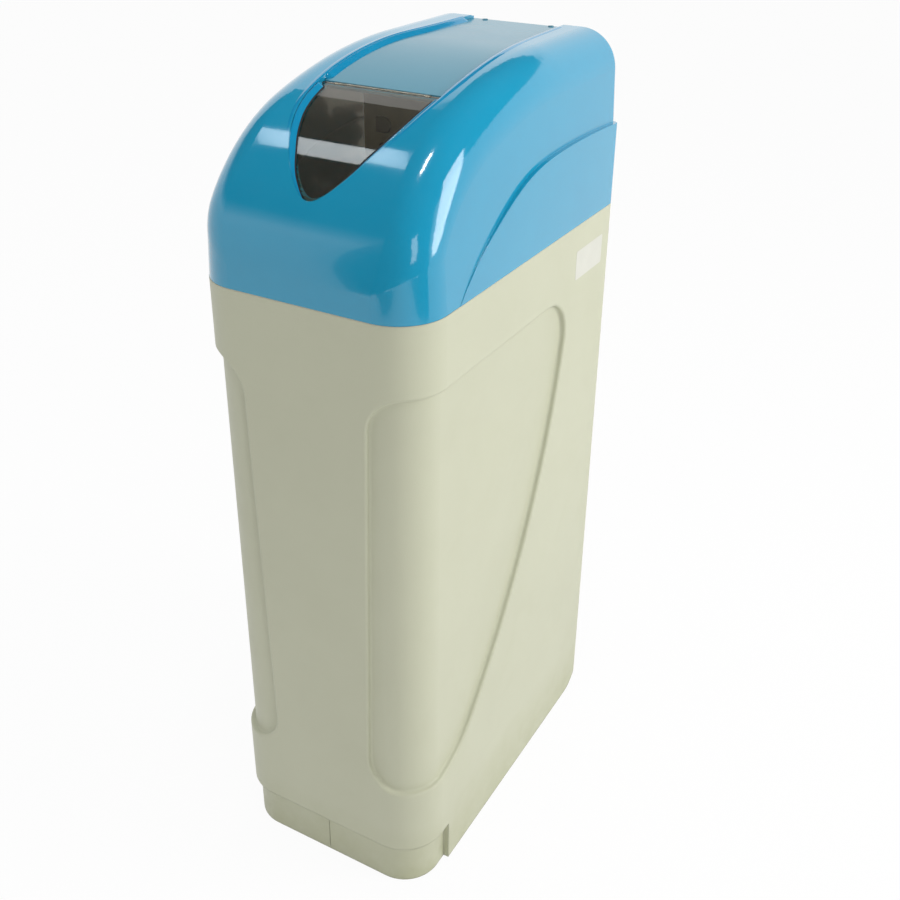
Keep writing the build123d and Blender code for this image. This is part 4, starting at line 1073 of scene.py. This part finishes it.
@dataclass
class Studio:
    """The pale floor, the white surroundings, the dark flags that paint dark reflections, the
    softboxes and the camera.
    """

    floor_half: float = 12.0
    floor_colour: Colour = (0.86, 0.86, 0.86)
    floor_glow: float = 0.94
    stage_roughness: float = 0.9
    surround: float = 0.60
    # Near-black sheets seen only in reflections: they paint dark reflections on the glossy hood,
    # lid and window.
    flags: tuple[tuple[str, Point, Point], ...] = (
        ("left_flag", (-7.0, -7.0, 3.05), (-1.35, 1.4, 3.06)),
        ("top_flag", (-1.35, -7.0, 3.05), (4.0, 3.3, 3.06)),
        ("front_flag", (-1.72, -3.01, 0.0), (2.7, -3.0, 3.0)),
        ("right_flag", (2.7, -3.0, 0.0), (2.71, 0.0, 3.0)),
    )
    # Distances from the middle over which the flags' painted white glow grows from none to full.
    flag_glow_reach: tuple[float, float] = (4.2, 6.6)
    flag_colour: Colour = (0.05, 0.05, 0.05)
    eye: Point = (0.7292, -1.2163, 1.3816)
    yaw: float = 0.51036
    pitch: float = 0.49130
    roll: float = 0.012423
    focal: float = 1136.56
    image: float = 900.0
    centre: tuple[float, float] = (450.0, 410.0)
    sensor: float = 36.0
    boxes: tuple[Softbox, ...] = (
        Softbox("side_box", (2.6, 0.8, 1.75), (0.15, 0.1, 1.0), 1.0, 2.1, 42.0),
        Softbox("front_box", (2.4, -1.7, 1.7), (0.0, 0.0, 0.7), 0.7, 1.5, 10.0),
        Softbox("band_box", (-1.33, -0.32, 3.0), (-1.33, -0.32, 0.0), 0.58, 0.42, 4.2,
                (0.80, 0.90, 1.0)),
        Softbox("spot_box", (0.32, -0.40, 3.0), (0.32, -0.40, 0.0), 0.13, 0.48, 7.0),
        Softbox("top_box", (0.0, 1.9, 3.2), (0.0, 0.1, 1.0), 2.0, 1.2, 15.0, in_gloss=False),
    )

    def build(self) -> None:
        """Builds all of it."""
        self.lay_floor()
        self.hang_flags()
        self.light_surround()
        for lamp in self.boxes:
            lamp.build()
        self.place_camera()

    def seen_ray(self, graph: Graph) -> bpy.types.NodeSocket:
        """Where a ray comes from the camera, a gloss or a clear piece.

        Args:
            graph: The tree to write into.

        Returns:
            The mask's socket.
        """
        path = graph.add("ShaderNodeLightPath")
        seen = graph.math("MAXIMUM", path.outputs["Is Camera Ray"], path.outputs["Is Glossy Ray"])
        return graph.math("MAXIMUM", seen, path.outputs["Is Transmission Ray"])

    def lay_floor(self) -> None:
        """Lays the pale floor, which keeps the object's shadow."""
        deselect_all()
        bpy.ops.mesh.primitive_plane_add(size=2 * self.floor_half, location=(0.0, 0.0, 0.0))
        floor = bpy.context.active_object
        floor.name = "studio_floor"
        material = bpy.data.materials.new("studio_floor")
        material.use_nodes = True
        graph = Graph(material.node_tree)
        tree = material.node_tree
        shader = tree.nodes["Principled BSDF"]
        shader.inputs["Base Color"].default_value = (*self.floor_colour, 1.0)
        shader.inputs["Roughness"].default_value = self.stage_roughness
        glow = graph.add("ShaderNodeEmission", Strength=1.0)
        share = graph.math("MULTIPLY", self.seen_ray(graph), self.floor_glow)
        mixed = graph.add("ShaderNodeMixShader")
        graph.link(share, mixed.inputs[0])
        graph.link(shader.outputs[0], mixed.inputs[1])
        graph.link(glow.outputs[0], mixed.inputs[2])
        graph.link(mixed.outputs[0], tree.nodes["Material Output"].inputs["Surface"])
        floor.data.materials.append(material)

    def hang_flags(self) -> None:
        """Hangs dark flags round the object, which only the gloss shows: they paint dark
        reflections on the glossy pieces, and their far parts glow white as painted reflection.
        """
        material = bpy.data.materials.new("studio_flag")
        material.use_nodes = True
        graph = Graph(material.node_tree)
        shader = material.node_tree.nodes["Principled BSDF"]
        shader.inputs["Base Color"].default_value = (*self.flag_colour, 1.0)
        shader.inputs["Roughness"].default_value = self.stage_roughness
        place = graph.add("ShaderNodeTexCoord")
        flat = graph.add("ShaderNodeMapping")
        flat.inputs["Scale"].default_value = (1.0, 1.0, 0.0)
        reach = graph.add("ShaderNodeVectorMath", operation="LENGTH")
        graph.link(place.outputs["Object"], flat.inputs["Vector"])
        graph.link(flat.outputs[0], reach.inputs[0])
        # Past 4.2 m from the middle the flags glow white, fully from 6.6 m on; this glow is
        # painted reflection, seen only in the gloss.
        glow = graph.ramp(reach.outputs["Value"], *self.flag_glow_reach)
        graph.link(glow, shader.inputs["Emission Strength"])
        shader.inputs["Emission Color"].default_value = (1.0, 1.0, 1.0, 1.0)
        for name, low, high in self.flags:
            flag = box(name, low, high)
            flag.data.materials.append(material)
            flag.visible_camera = False
            flag.visible_diffuse = False
            flag.visible_transmission = False
            flag.visible_shadow = False

    def light_surround(self) -> None:
        """Lights the surroundings softly, and shows them white."""
        world = bpy.data.worlds.new("studio_surround")
        bpy.context.scene.world = world
        world.use_nodes = True
        graph = Graph(world.node_tree)
        ground = world.node_tree.nodes["Background"]
        ground.inputs["Color"].default_value = (1.0, 1.0, 1.0, 1.0)
        level = graph.math("MULTIPLY", self.seen_ray(graph), 1.0 - self.surround)
        graph.link(graph.math("ADD", level, self.surround), ground.inputs["Strength"])

    def place_camera(self) -> None:
        """Sets the camera as the photograph's was."""
        flat = Vector((math.cos(self.yaw), math.sin(self.yaw), 0.0))
        ahead = Vector((-math.sin(self.yaw) * math.cos(self.pitch),
                        math.cos(self.yaw) * math.cos(self.pitch), -math.sin(self.pitch)))
        up = flat.cross(ahead)
        right = math.cos(self.roll) * flat + math.sin(self.roll) * up
        top = -math.sin(self.roll) * flat + math.cos(self.roll) * up
        data = bpy.data.cameras.new("photo_camera")
        data.sensor_width = self.sensor
        data.lens = self.focal / self.image * self.sensor
        data.shift_x = (self.image / 2 - self.centre[0]) / self.image
        data.shift_y = (self.centre[1] - self.image / 2) / self.image
        camera = bpy.data.objects.new("photo_camera", data)
        bpy.context.scene.collection.objects.link(camera)
        turn = Matrix((right, top, -ahead)).transposed()
        camera.matrix_world = Matrix.Translation(self.eye) @ turn.to_4x4()
        bpy.context.scene.camera = camera
        bpy.context.scene.view_settings.view_transform = "Standard"


def main() -> None:
    """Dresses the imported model, adds the trims and sets up the studio."""
    logging.basicConfig(level=logging.INFO, format="%(name)s: %(message)s")
    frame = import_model()
    GROUPS.build()
    Dressing().dress(frame["nodes"])
    for assembly in (LidRim(), SideRails(), MouldSeam(), SideLabel()):
        assembly.build()
    Studio().build()


if __name__ == "__main__":
    main()
